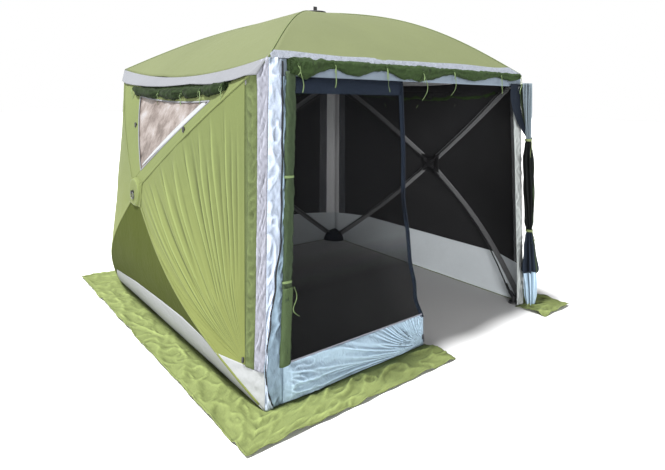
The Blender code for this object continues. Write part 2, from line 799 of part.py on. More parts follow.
def build_walls(group, mats):
    for side in HUB_WALLS:
        skin = mats["left" if side == "left" else "mesh"]
        turn = wall_matrix(side)
        for part, (shape, grid) in wall_facets(side).items():

            def surface(u, v, shape=shape, turn=turn):
                return turn @ shape(u, v)

            cloth_from(f"wall_{side}_{part}", surface, grid, wall_normal(side), group, skin)


def roof_profile(share, bow):
    """Height of a roof ridge at this share of the way out from the hub to the eave."""
    chord = ROOF_HUB_HEIGHT - (ROOF_HUB_HEIGHT - EAVE_HEIGHT) * share
    return chord + bow * math.sin(math.pi * share)


def build_roof(group, mat):
    outer = 1.0 - CORNER_TRIM / EAVE_HALF
    for side, (first, last) in WALL_ENDS.items():
        sag = 0.0 if side == "front" else EAVE_SAG

        def surface(u, v, side=side, sag=sag, first=first, last=last):
            share = outer + (ROOF_HOLE_SHARE - outer) * v
            along = (EAVE_HALF * share - SEAM_GAP) * (2.0 * u - 1.0)
            bow = ROOF_BOWS[first] * (1.0 - u) + ROOF_BOWS[last] * u
            height = roof_profile(share, bow) - sag * hump(u) * share**ROOF_SAG_POWER
            return on_wall(side, along, EAVE_HALF * share, height)

        cloth_from(f"roof_{side}", surface, ROOF_CELL_COUNT, Vector((0, 0, 1)), group, mat)


def front_strip(name, left, right, low, high, group, mat):
    """A sheet in the door wall's leaning plane, between two edges given as functions of height."""

    def surface(u, v):
        height = low + (high - low) * v
        along = left(height) + (right(height) - left(height)) * u
        return on_wall("front", along, out_at(height), height)

    cloth_from(name, surface, STRIP_CELL_COUNT, Vector((0, -1, 0)), group, mat)


def door_edge(height):
    top = EAVE_HEIGHT - HEADER_HEIGHT
    return DOOR_EDGE_BOTTOM + (DOOR_EDGE_TOP - DOOR_EDGE_BOTTOM) * height / top


def build_door(group, mats):
    opening_top = EAVE_HEIGHT - HEADER_HEIGHT
    gap = SEAM_GAP

    def corner_out(height):
        return out_at(height) - 2 * gap

    jamb = {
        "jamb_left": (lambda z: -corner_out(z), lambda z: -corner_out(z) + JAMB_WIDTH),
        "jamb_right": (lambda z: corner_out(z) - JAMB_WIDTH, lambda z: corner_out(z)),
    }
    for name, (left, right) in jamb.items():
        front_strip(name, left, right, HEM_RISE, opening_top - gap, group, mats["trim"])
    front_strip(
        "door_header",
        lambda z: -corner_out(z),
        lambda z: corner_out(z),
        opening_top + gap,
        EAVE_HEIGHT - 4 * gap,
        group,
        mats["trim"],
    )

    def inner_jamb(height):
        return -corner_out(height) + JAMB_WIDTH + 2 * gap

    front_strip(
        "door_mesh", inner_jamb, door_edge, SILL_HEIGHT + gap, opening_top - gap, group, mats["mesh"]
    )

    def sill(u, v):
        height = HEM_RISE + (SILL_HEIGHT - gap - HEM_RISE) * v
        along = inner_jamb(height) + (door_edge(height) - inner_jamb(height)) * u
        free = max(0.0, min(1.0, (1.0 - u - SILL_FREE_FLAT) / SILL_FREE_FADE))
        fixed = min(1.0, u / SILL_JAMB_FADE)
        wave = 1.0 + math.sin(SILL_FOLD_TURN * u + SILL_FOLD_SLANT * v)
        fold = SILL_FOLD * wave * hump(v) * fixed * free
        return on_wall("front", along, out_at(height) + fold, height)

    cloth_from("door_sill", sill, SILL_CELL_COUNT, Vector((0, -1, 0)), group, mats["trim"])


def soft_tube(name, points, sides, group, mat, lobes=0, lobe_depth=0.0):
    """A rolled or gathered cloth, lofted through sections (centre, across, out, half sizes)."""
    bm = bmesh.new()
    rings = []
    for centre, across, out, half_across, half_out in points:
        ring = []
        for step in range(sides):
            angle = 2.0 * math.pi * step / sides
            swell = 1.0 + lobe_depth * math.cos(lobes * angle)
            offset = across * (half_across * math.cos(angle)) + out * (half_out * math.sin(angle))
            ring.append(bm.verts.new(centre + offset * swell))
        rings.append(ring)
    for first, second in zip(rings, rings[1:]):
        for step in range(sides):
            nxt = (step + 1) % sides
            bm.faces.new((first[step], first[nxt], second[nxt], second[step]))
    bm.faces.new(rings[0])
    bm.faces.new(rings[-1])
    mesh = mesh_from(name, bm)
    mesh.shade_smooth()
    return add_object(name, mesh, group, mat)


def puff(share, ties):
    """Radius share of a roll tied at even steps: 1 between the ties, less at each tie."""
    return 1.0 - ROLL_TIGHTNESS * abs(math.cos(math.pi * ties * share)) ** ROLL_TIE_POWER


def top_facet_out(along, height):
    """How far out the top facet of a hub wall stands here, found by halving."""
    corners = [Vector((sign * EAVE_HALF, -EAVE_HALF, EAVE_HEIGHT)) for sign in (-1, 1)]
    facet = facet_surface(*corners, (WALL_TOP_BOW, WALL_TOP_BOW), EAVE_SAG)
    near, far = 0.0, 1.0 - abs(along) / EAVE_HALF
    for _ in range(HALVING_COUNT):
        v = (near + far) / 2
        u = 0.5 + along / (2 * EAVE_HALF * (1.0 - v))
        point = facet(u, v)
        if point.z > height:
            near = v
        else:
            far = v
    return -point.y


def eave_roll(name, side, reach, radius, drop, ties, group, mat):
    """A storm flap rolled up under the eave of a wall, tied at even steps and lying on the cloth."""
    stations = ROLL_STEP_COUNT * ties
    out = on_wall(side, 0.0, 1.0, 0.0)
    down = Vector((0.0, 0.0, -1.0))
    sections = []
    for step in range(stations + 1):
        share = step / stations
        along = reach[0] + (reach[1] - reach[0]) * share
        size = radius * puff(share, ties)
        sag = 0.0 if side == "front" else EAVE_SAG
        height = EAVE_HEIGHT - drop - sag * hump(0.5 + along / (2 * EAVE_HALF))
        if side == "front":
            skin = out_at(height)
            slope = math.tan(-WALL_LEAN)
        else:
            skin = top_facet_out(along, height)
            slope = (top_facet_out(along, height - radius) - skin) / radius
        face = math.atan(slope)
        half_out = ROLL_FLATNESS * size
        support = math.hypot(half_out * math.cos(face), size * math.sin(face))
        seat = (support + CLOTH + ROLL_SEAT) / math.cos(face)
        place = on_wall(side, along, skin + seat, height)
        sections.append((place, out, down, half_out, size))
    return soft_tube(name, sections, ROLL_SIDE_COUNT, group, mat)


def build_rolls(group, mats):
    cover = mats["left"]
    front = (FRONT_ROLL_REACH, FRONT_ROLL_RADIUS, FRONT_ROLL_DROP, FRONT_ROLL_TIE_COUNT)
    wall = (WALL_ROLL_REACH, WALL_ROLL_RADIUS, WALL_ROLL_DROP, WALL_ROLL_TIE_COUNT)
    window = (WINDOW_ROLL_REACH, WINDOW_ROLL_RADIUS, WINDOW_ROLL_DROP, WINDOW_ROLL_TIE_COUNT)
    eave_roll("storm_roll_front", "front", *front, group, cover)
    eave_roll("storm_roll_right", "right", *wall, group, cover)
    eave_roll("storm_roll_back", "back", *wall, group, cover)
    eave_roll("window_roll_left", "left", *window, group, cover)
    sections = []
    out = Vector((0.0, -1.0, 0.0))
    across = Vector((1.0, 0.0, 0.0))
    stations = STORM_ROLL_STEP_COUNT * STORM_ROLL_TIE_COUNT
    for step in range(stations + 1):
        share = step / stations
        height = STORM_ROLL_BOTTOM + (STORM_ROLL_TOP - STORM_ROLL_BOTTOM) * share
        half = STORM_ROLL_HALF_WIDTH * puff(share, STORM_ROLL_TIE_COUNT)
        depth = half * STORM_ROLL_FLATNESS
        along = -out_at(height) + JAMB_WIDTH + STORM_ROLL_OFF_JAMB
        seat = (depth + CLOTH + ROLL_SEAT) / math.cos(WALL_LEAN)
        place = on_wall("front", along, out_at(height) + seat, height)
        sections.append((place, across, out, half, depth))
    soft_tube("storm_roll_door", sections, ROLL_SIDE_COUNT, group, mats["left"])


def bundle_size(height):
    """Half thickness of the gathered door half, drawn in at its two ties."""
    size = BUNDLE_RADIUS
    for tie in BUNDLE_TIES:
        size -= BUNDLE_RADIUS * BUNDLE_TIE_DEPTH * math.exp(-(((height - tie) / BUNDLE_TIE_SPREAD) ** 2))
    return size * (1.0 - BUNDLE_TAPER + BUNDLE_TAPER * math.cos(math.pi * (height - BUNDLE_FULL_HEIGHT)))


def build_bundle(group, mat):
    sections = []
    turns = [2.0 * math.pi * step / BUNDLE_SIDE_COUNT for step in range(BUNDLE_SIDE_COUNT)]
    swell = max(
        (1.0 + BUNDLE_LOBE_DEPTH * math.cos(BUNDLE_LOBE_COUNT * turn)) * -math.sin(turn) for turn in turns
    )
    seat = (BUNDLE_RADIUS * swell + CLOTH + CLEAR) / math.cos(WALL_LEAN)
    for step in range(BUNDLE_STEP_COUNT + 1):
        height = BUNDLE_BOTTOM + (BUNDLE_TOP - BUNDLE_BOTTOM) * step / BUNDLE_STEP_COUNT
        size = bundle_size(height)
        along = out_at(height) - BUNDLE_OFFSET
        place = on_wall("front", along, out_at(height) + seat, height)
        sections.append((place, Vector((1, 0, 0)), Vector((0, -1, 0)), size, size))
    soft_tube("door_bundle_right", sections, BUNDLE_SIDE_COUNT, group, mat, BUNDLE_LOBE_COUNT, BUNDLE_LOBE_DEPTH)


def build_slider(group, mat):
    """The zip slider that straddles the door's free edge, with its pull."""
    low = Vector((door_edge(0.0), -out_at(0.0), 0.0))
    top = EAVE_HEIGHT - HEADER_HEIGHT
    high = Vector((door_edge(top), -out_at(top), top))
    along = (high - low).normalized()
    outward = wall_normal("front")
    frame = frame_of(low + along * (SLIDER_START / along.z), along, outward)
    # X of this frame runs up the zip, Z out of the cloth, and Y towards the panel
    side_of_cloth = SLIDER_WIDTH / 2 - SLIDER_GRIP
    body = box_piece(
        (SLIDER_LENGTH, SLIDER_WIDTH, SLIDER_DEPTH), Matrix.Translation((0.0, 0.0, CLOTH / 2))
    )
    slot = box_piece(
        (2 * SLIDER_LENGTH, SLIDER_WIDTH, SLIDER_SLOT),
        Matrix.Translation((0.0, side_of_cloth, CLOTH / 2)),
    )
    pull = box_piece(
        (PULL_LENGTH, PULL_WIDTH, PULL_THICK),
        Matrix.Translation((-PULL_LENGTH / 2, 0.0, (CLOTH + SLIDER_DEPTH) / 2 + PULL_LIFT)),
    )
    mesh = joined("zip_slider", [body, pull], [slot])
    add_object("door_zip_slider", mesh, group, mat, frame)


def skirt_path():
    """Corners of the skirt's inner edge and outer edge, from the door round to the right jamb."""
    inner = BASE_HALF - SKIRT_TUCK
    outer = BASE_HALF + SKIRT_WIDTH
    tent = [
        ((SKIRT_DOOR_END, -inner), (SKIRT_DOOR_END, -outer)),
        ((-inner, -inner), (-outer, -outer)),
        ((-inner, inner), (-outer, outer)),
        ((inner, inner), (outer, outer)),
        ((inner, -inner), (outer, -outer)),
        ((SKIRT_RIGHT_END, -inner), (SKIRT_RIGHT_END, -outer)),
    ]
    return [(Vector((*a, 0.0)), Vector((*b, 0.0))) for a, b in tent]


def build_skirt(group, mat):
    corners = skirt_path()
    lengths = [(b[1] - a[1]).length for a, b in zip(corners, corners[1:])]
    steps = [max(2, round(length / SKIRT_STEP)) for length in lengths]
    total = sum(steps)
    flat_row = 1.0 / SKIRT_ROW_COUNT
    along_x, along_y, along_v = SKIRT_RIPPLE
    flat_share = 4.0 * SKIRT_TUCK / (SKIRT_WIDTH + SKIRT_TUCK)

    def surface(u, v):
        place = u * total
        leg = 0
        while leg < len(steps) - 1 and place > steps[leg] + 1e-6:
            place -= steps[leg]
            leg += 1
        share = min(1.0, place / steps[leg])
        inner = corners[leg][0].lerp(corners[leg + 1][0], share)
        outer = corners[leg][1].lerp(corners[leg + 1][1], share)
        loose = max(0.0, (v - flat_row) / (1.0 - flat_row))
        across = flat_share + (1.0 - flat_share) * loose if loose else flat_share * v / flat_row
        point = inner.lerp(outer, across)
        ripple = 0.5 + 0.5 * math.sin(along_x * point.x + along_y * point.y + along_v * v)
        point.z = CLEAR + SKIRT_WAVE * ripple * hump(loose) * hump(share) ** 0.5
        return point

    cloth_from("ground_skirt", surface, (total, SKIRT_ROW_COUNT), Vector((0, 0, 1)), group, mat)


def main():
    clear_scene()
    group = collection("screen_tent")
    green = material("storm_cloth", (0.36, 0.42, 0.16), 0.75)
    roof = material("roof_cloth", (0.42, 0.47, 0.24), 0.75)
    skirt = material("skirt_cloth", (0.40, 0.48, 0.18), 0.75)
    mesh = material("insect_mesh", (0.02, 0.02, 0.022), 0.85)
    trim = material("trim_cloth", (0.62, 0.66, 0.72), 0.6)
    plastic = material("moulded_plastic", (0.015, 0.015, 0.016), 0.45)
    fibre = material("fibreglass", (0.03, 0.03, 0.032), 0.35)
    steel = material("ring_steel", (0.55, 0.55, 0.57), 0.3, 1.0)
    cloths = {"left": green, "mesh": mesh, "trim": trim}
    build_poles(group, fibre)
    build_joints(group, plastic)
    build_feet(group, plastic)
    build_hubs(group, plastic, steel)
    build_walls(group, cloths)
    build_roof(group, roof)
    build_door(group, cloths)
    build_rolls(group, cloths)
    build_bundle(group, mesh)
    build_slider(group, plastic)
    build_skirt(group, skirt)


main()
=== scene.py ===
"""Looks of a pop-up screen tent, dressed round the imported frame.

Metres, +Z up, and the door wall faces -Y. A wall is drawn in its own flat terms, metres along
it and height, and `skin` lays such a point on the bulging cloth.
"""

import math

import bmesh
import bpy
from mathutils import Matrix, Vector, noise


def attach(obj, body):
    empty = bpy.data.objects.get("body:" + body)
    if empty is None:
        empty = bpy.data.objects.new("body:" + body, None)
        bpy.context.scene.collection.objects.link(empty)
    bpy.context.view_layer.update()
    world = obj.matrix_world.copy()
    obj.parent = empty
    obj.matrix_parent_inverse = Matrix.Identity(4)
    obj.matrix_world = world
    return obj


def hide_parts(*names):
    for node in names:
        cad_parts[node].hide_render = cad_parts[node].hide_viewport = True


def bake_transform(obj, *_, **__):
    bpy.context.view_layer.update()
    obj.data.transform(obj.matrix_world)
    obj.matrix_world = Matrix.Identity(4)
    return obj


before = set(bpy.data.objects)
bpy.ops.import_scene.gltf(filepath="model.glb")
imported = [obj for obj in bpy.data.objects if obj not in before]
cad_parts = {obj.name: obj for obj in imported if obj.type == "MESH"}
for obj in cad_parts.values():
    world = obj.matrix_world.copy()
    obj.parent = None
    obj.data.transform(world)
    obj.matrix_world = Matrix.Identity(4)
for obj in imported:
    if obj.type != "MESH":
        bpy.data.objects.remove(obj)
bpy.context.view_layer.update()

# Outline of the pitched tent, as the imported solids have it
BASE_HALF, EAVE_HALF, EAVE_HEIGHT = 1.150, 1.005, 1.670
HUB_REACH, HUB_HEIGHT, ROOF_HEIGHT = 1.335, 0.940, 2.060
TOP_BOW, LOW_BOW, EAVE_SAG = 0.025, 0.090, 0.070
HUB_HOLE, PATCH_REACH = 0.062, 0.125
ROOF_BOWS = {"front_left": 0.080, "front_right": 0.115, "back_right": 0.080, "back_left": 0.050}
HEM_RISE = 0.004
EDGE_GAP = 0.0002
LEAN = math.atan2(BASE_HALF - EAVE_HALF, EAVE_HEIGHT)
TURNS = {"front": (1, 0), "left": (0, -1), "back": (-1, 0), "right": (0, 1)}
WALL_ENDS = {
    "front": ("front_left", "front_right"),
    "left": ("back_left", "front_left"),
    "back": ("back_right", "back_left"),
    "right": ("front_right", "back_right"),
}
CLOTH, TAPE, THIN_CLOTH = 0.0012, 0.0010, 0.0008
X, Y, UP = Vector((1.0, 0.0, 0.0)), Vector((0.0, 1.0, 0.0)), Vector((0.0, 0.0, 1.0))


# Places on the tent
def mix(first, last, share):
    return first + (last - first) * share


def between(first, last, share):
    """The flat point at this share of the way from one flat point to another."""
    return [mix(a, b, share) for a, b in zip(first, last)]


def hump(value):
    """0 at both ends of 0..1, 1 in the middle."""
    return 4.0 * value * (1.0 - value)


def on_wall(side, along, out, height):
    cos, sin = TURNS[side]
    return Vector((cos * along + sin * out, sin * along - cos * out, height))


def wall_normal(side):
    return on_wall(side, 0.0, math.cos(LEAN), math.sin(LEAN))


def out_at(height):
    """How far a wall's plane, and so its corner too, stands from the tent's middle at this height."""
    return BASE_HALF - (BASE_HALF - EAVE_HALF) * height / EAVE_HEIGHT


WALL_CORNERS = (
    (-EAVE_HALF, EAVE_HEIGHT, TOP_BOW),
    (EAVE_HALF, EAVE_HEIGHT, TOP_BOW),
    (BASE_HALF, 0.0, LOW_BOW),
    (-BASE_HALF, 0.0, LOW_BOW),
)
FACETS = {
    name: (WALL_CORNERS[place], WALL_CORNERS[(place + 1) % 4], sag)
    for place, (name, sag) in enumerate((("top", EAVE_SAG), ("side_b", 0.0), ("low", 0.0), ("side_a", 0.0)))
}


def skin(side, along, height, lift=0.0):
    """The point of a hub wall's cloth at these flat measures, raised by lift."""
    best = None
    rise = height - HUB_HEIGHT
    for start, end, sag in FACETS.values():
        first, last = start[1] - HUB_HEIGHT, end[1] - HUB_HEIGHT
        across = start[0] * last - first * end[0]
        near = (along * last - rise * end[0]) / across
        far = (start[0] * rise - first * along) / across
        if best is None or min(near, far) > best[0]:
            best = (min(near, far), near, far, start[2], end[2], sag)
    _, near, far, bow, next_bow, sag = best
    to_hub = 1.0 - near - far
    share = far / (near + far) if near + far > 1e-9 else 0.5
    depth = min(1.0, max(0.0, to_hub / (1.0 - HUB_HOLE)))
    swell = mix(bow, next_bow, share) * math.sin(math.pi * depth)
    out = out_at(height) + to_hub * (HUB_REACH - out_at(HUB_HEIGHT))
    point = on_wall(side, along, out, height) + wall_normal(side) * (swell + lift)
    point.z -= sag * hump(min(1.0, max(0.0, share))) * (1.0 - depth) ** 2
    return point


def toward_hub(corner, reach=HUB_HOLE):
    """The flat point on a ridge at this reach from the hub's middle."""
    along, height = corner[0], corner[1] - HUB_HEIGHT
    share = reach / math.hypot(along, height)
    return (along * share, HUB_HEIGHT + height * share)


def roof_skin(side, share, cross, lift=0.0):
    """A point of the roof: share is 0 at the hub and 1 at the eave, cross runs 0..1 along it."""
    first, last = WALL_ENDS[side]
    bow = mix(ROOF_BOWS[first], ROOF_BOWS[last], cross)
    chord = ROOF_HEIGHT - (ROOF_HEIGHT - EAVE_HEIGHT) * share
    sag = 0.0 if side == "front" else EAVE_SAG * hump(cross) * share**6
    height = chord + bow * math.sin(math.pi * share) - sag + lift
    return on_wall(side, EAVE_HALF * share * (2.0 * cross - 1.0), EAVE_HALF * share, height)


def rough(point, seed=0.0, size=1.0):
    """Smooth random height, about -1..1, with lumps of this size. A flat point will do too."""
    return noise.noise(Vector((*point, 0.0)[:3]) / size + Vector((seed, seed * 1.7, seed * 2.3)))


def creased(point, seed=0.0):
    """Random height whose crests are sharp, 0..1."""
    return 1.0 - min(1.0, 2.2 * abs(rough(point, seed)))


def eased(value):
    """0 below 0, 1 above 1, and a smooth rise between."""
    value = min(1.0, max(0.0, value))
    return value * value * (3.0 - 2.0 * value)


def read_off(table, at, ease=eased):
    """The value at this place in a table of (place, value) pairs, eased from one to the next."""
    for (low, here), (high, there) in zip(table, table[1:]):
        if at <= high:
            return mix(here, there, ease((at - low) / (high - low)))
    return table[-1][1]


def along_line(line, share):
    """The point at this share of a broken line's length."""
    lengths = [math.dist(a, b) for a, b in zip(line, line[1:])]
    left = share * sum(lengths)
    for number, length in enumerate(lengths):
        if left <= length or number == len(lengths) - 1:
            step = left / length if length > 1e-9 else 0.0
            return between(line[number], line[number + 1], min(1.0, step))
        left -= length
    return line[-1]


# Finishes
class Wire:
    """One output socket of a finish. Arithmetic on it adds the nodes that work it out."""

    def __init__(self, tree, socket=None):
        self.tree, self.socket = tree, socket

    def node(self, kind, settings=None, sockets=None, out=0):
        """Adds a node with these settings and sockets, and gives one of its outputs."""
        made = self.tree.nodes.new(kind)
        for name, value in (settings or {}).items():
            if name == "stops":
                stops = made.color_ramp.elements
                stops[0].position, stops[1].position = value[0][0], value[-1][0]
                for place, _ in value[1:-1]:
                    stops.new(place)
                for stop, (_, colour) in zip(stops, value):
                    stop.color = (*colour, 1.0)
            else:
                setattr(made, name, value)
        for key, value in (sockets or {}).items():
            if isinstance(value, Wire):
                self.tree.links.new(value.socket, made.inputs[key])
            else:
                made.inputs[key].default_value = value
        return Wire(self.tree, made.outputs[out])

    def maths(self, operation, first, second=0.0):
        return self.node("ShaderNodeMath", {"operation": operation}, {0: first, 1: second})

    def __add__(self, other):
        return self.maths("ADD", self, other)

    __radd__ = __add__

    def __mul__(self, other):
        return self.maths("MULTIPLY", self, other)

    __rmul__ = __mul__

    def __sub__(self, other):
        return self.maths("SUBTRACT", self, other)

    def __rsub__(self, other):
        return self.maths("SUBTRACT", other, self)

    def __abs__(self):
        return self.maths("ABSOLUTE", self)


def finish(name, **constants):
    """A new finish: its material, its shader with these fixed values, and the places on the object."""
    made = bpy.data.materials.new(name)
    made.use_nodes = True
    shader = made.node_tree.nodes["Principled BSDF"]
    for key, value in constants.items():
        shader.inputs[key.replace("_", " ")].default_value = value
    return made, shader, Wire(made.node_tree).node("ShaderNodeTexCoord", out=3)


def feed(shader, **inputs):
    for key, value in inputs.items():
        value.tree.links.new(value.socket, shader.inputs[key.replace("_", " ")])


def laid_along(place):
    """Places on the cloth as it was cut, in metres."""
    return place.node("ShaderNodeTexCoord", out=2)


def lumps(place, scale, detail=3.0, roughness=0.5):
    sockets = {"Vector": place, "Scale": scale, "Detail": detail, "Roughness": roughness}
    return place.node("ShaderNodeTexNoise", {}, sockets)


def blended(factor, first, last):
    """Colour that goes from first to last as factor goes from 0 to 1."""
    return factor.node("ShaderNodeMix", {"data_type": "RGBA"}, {0: factor, 6: first, 7: last}, out=2)


def bumped(height):
    return height.node("ShaderNodeBump", {}, {"Strength": 1.0, "Distance": 1.0, "Height": height})


def height_of(place):
    return place.node("ShaderNodeSeparateXYZ", {}, {"Vector": place}, out=2)


def clamped(value):
    return value.node("ShaderNodeClamp", {}, {"Value": value})


def ranged(value, low, high, top=1.0, foot=0.0):
    """Foot where value is low, top where it is high, and straight between."""
    limits = {"From Min": low, "From Max": high, "To Min": foot, "To Max": top}
    return value.node("ShaderNodeMapRange", {}, {"Value": value, **limits})


def bent(place, turned, stretched):
    return place.node("ShaderNodeMapping", {}, {"Vector": place, "Rotation": turned, "Scale": stretched})


def threads(place, pitch, direction):
    """Rows of threads, 0..1, this far apart."""
    bands = {"wave_type": "BANDS", "bands_direction": direction}
    return place.node("ShaderNodeTexWave", bands, {"Vector": place, "Scale": math.pi / 10.0 / pitch}, out=1)


def tint(colour, factor):
    return (*(min(1.0, part * factor) for part in colour), 1.0)


WEAVE_PITCH, MESH_PITCH, RIB_PITCH = 0.0016, 0.0018, 0.003


def woven(name, colour, crumple=0.0020, creasing=0.0, low=None, shine=0.18):
    """Coated tent cloth: plain weave, small crumples, a drifting tone, and painted highlights on crests with
    painted shade in valleys.
    """
    made, shader, place = finish(name, Specular_IOR_Level=shine, Sheen_Weight=0.1 * shine)
    laid = laid_along(place)
    small = lumps(place, 26.0)
    weave = threads(laid, WEAVE_PITCH, "X") * threads(laid, WEAVE_PITCH, "Y")
    tone = lumps(place, 2.2, 4.0) * 0.7 + small * 0.3
    shade = blended(tone, tint(colour, 0.88), tint(colour, 1.12))
    # Painted light: towards the bottom the colour eases to the brighter low colour, standing in for sunlight
    # there
    if low:
        shade = blended(clamped(1.0 - height_of(place) * 0.85), shade, tint(low, 1.0))
    # Painted light: crests are painted paler as highlights and valleys darker as shade, read from the mesh's
    # crest measure
    ridge = place.node("ShaderNodeAttribute", {"attribute_name": "ridge"}, out=2)
    shade = blended(ranged(ridge, 0.04, 0.45, 0.75), shade, tint(colour, 1.6))
    shade = blended(ranged(ridge, -0.04, -0.40, 0.85), shade, tint(colour, 0.42))
    worn = blended(weave * 0.18, shade, tint(colour, 0.72))
    sharp = abs(lumps(place, 7.7, 2.0) - 0.5)
    height = lumps(place, 14.0, 4.0, 0.62) * crumple + sharp * (-1.3 * crumple) + weave * 0.00006
    if creasing:
        slanted = bent(place, (0.5, 0.6, 0.4), (1.0, 1.0, 0.45))
        fine = abs(lumps(slanted, 17.0, 3.0, 0.6) - 0.5)
        cross = abs(lumps(slanted, 31.0, 2.0, 0.6) - 0.5)
        height = height - fine * creasing - cross * (0.5 * creasing)
    feed(shader, Base_Color=worn, Normal=bumped(height), Roughness=0.68 + 0.2 * small)
    return made


def netting(name, colour, alpha, thinner=0.0):
    """Insect mesh: fine dark threads that let some light between them, more of it higher up."""
    made, shader, place = finish(name, Specular_IOR_Level=0.04)
    laid = laid_along(place)
    thread = place.maths("MAXIMUM", threads(laid, MESH_PITCH, "X"), threads(laid, MESH_PITCH, "Y"))
    drifting = lumps(place, 3.0)
    cover = alpha - 0.10 + 0.12 * thread + 0.08 * drifting
    if thinner:
        cover = cover - ranged(height_of(place), 0.56, 0.74, thinner)
    feed(
        shader,
        Base_Color=blended(thread * 0.6 + drifting * 0.4, tint(colour, 0.75), tint(colour, 1.5)),
        Alpha=clamped(cover),
        Normal=bumped(lumps(place, 9.0) * 0.002 + thread * 0.0001),
        Roughness=0.75 + 0.1 * drifting,
    )
    return made


def webbing(name, colour):
    """Ribbed tape: cross ribs and a slightly worn tone."""
    made, shader, place = finish(name, Specular_IOR_Level=0.4)
    ribs, small = threads(laid_along(place), RIB_PITCH, "Y"), lumps(place, 40.0)
    shade = blended(ribs * 0.5 + small * 0.5, tint(colour, 0.7), tint(colour, 1.35))
    ribbed = bumped(ribs * 0.0003 + small * 0.0004)
    feed(shader, Base_Color=shade, Normal=ribbed, Roughness=0.55 + 0.2 * small)
    return made


def moulded(name, colour):
    """Moulded plastic: fine grain, edges rubbed a little paler."""
    made, shader, place = finish(name, Specular_IOR_Level=0.5)
    rubbed = lumps(place, 18.0, 4.0)
    wear = ranged(place.node("ShaderNodeNewGeometry", out=7), 0.52, 0.62)
    shade = blended(wear * rubbed, tint(colour, 1.0), tint(colour, 3.0))
    grain = bumped(lumps(place, 420.0, 2.0) * 0.00015)
    feed(shader, Base_Color=shade, Normal=grain, Roughness=0.32 + 0.2 * rubbed)
    return made


def drawn_rod(name, colour):
    """Pultruded glass-fibre rod, faintly mottled."""
    made, shader, place = finish(name, Specular_IOR_Level=0.5, Coat_Roughness=0.2)
    fibres = lumps(place, 60.0, 5.0, 0.7)
    shade = blended(fibres, tint(colour, 0.7), tint(colour, 1.6))
    feed(shader, Base_Color=shade, Roughness=0.3 + 0.15 * fibres, Normal=bumped(fibres * 0.0001))
    return made


def dull_metal(name, colour, roughness):
    """Plated or painted metal with fine scratches."""
    made, shader, place = finish(name, Metallic=1.0)
    scratches = lumps(place, 300.0, 4.0, 0.7)
    shade = blended(scratches, tint(colour, 0.8), tint(colour, 1.1))
    feed(shader, Base_Color=shade, Roughness=roughness + 0.2 * scratches, Normal=bumped(scratches * 0.00005))
    return made


# Painted reflection: tones of the surroundings mirrored in the window film
FILM_REFLECTION_TONES = (
    (0.36, (0.034, 0.026, 0.020)),
    (0.44, (0.105, 0.080, 0.068)),
    (0.50, (0.165, 0.136, 0.122)),
    (0.56, (0.225, 0.195, 0.180)),
    (0.66, (0.300, 0.290, 0.300)),
)


def window_film(name):
    """Clear window film whose colour is a painted reflection: a brown and beige mottle standing in for the
    surroundings it mirrors.
    """
    made, shader, place = finish(name, Specular_IOR_Level=0.5, Coat_Weight=0.2)
    blots = lumps(place, 6.0, 4.0, 0.62)
    fine = lumps(bent(place, (0.8, 0.0, 0.0), (1.0, 2.0, 0.6)), 46.0, 6.0, 0.74)
    painted_reflection = place.node("ShaderNodeValToRGB", {"stops": FILM_REFLECTION_TONES}, {"Fac": blots * 0.62 + fine * 0.38})
    feed(shader, Base_Color=painted_reflection, Roughness=0.25 + 0.3 * fine, Normal=bumped(blots * 0.004 + fine * 0.0006))
    return made


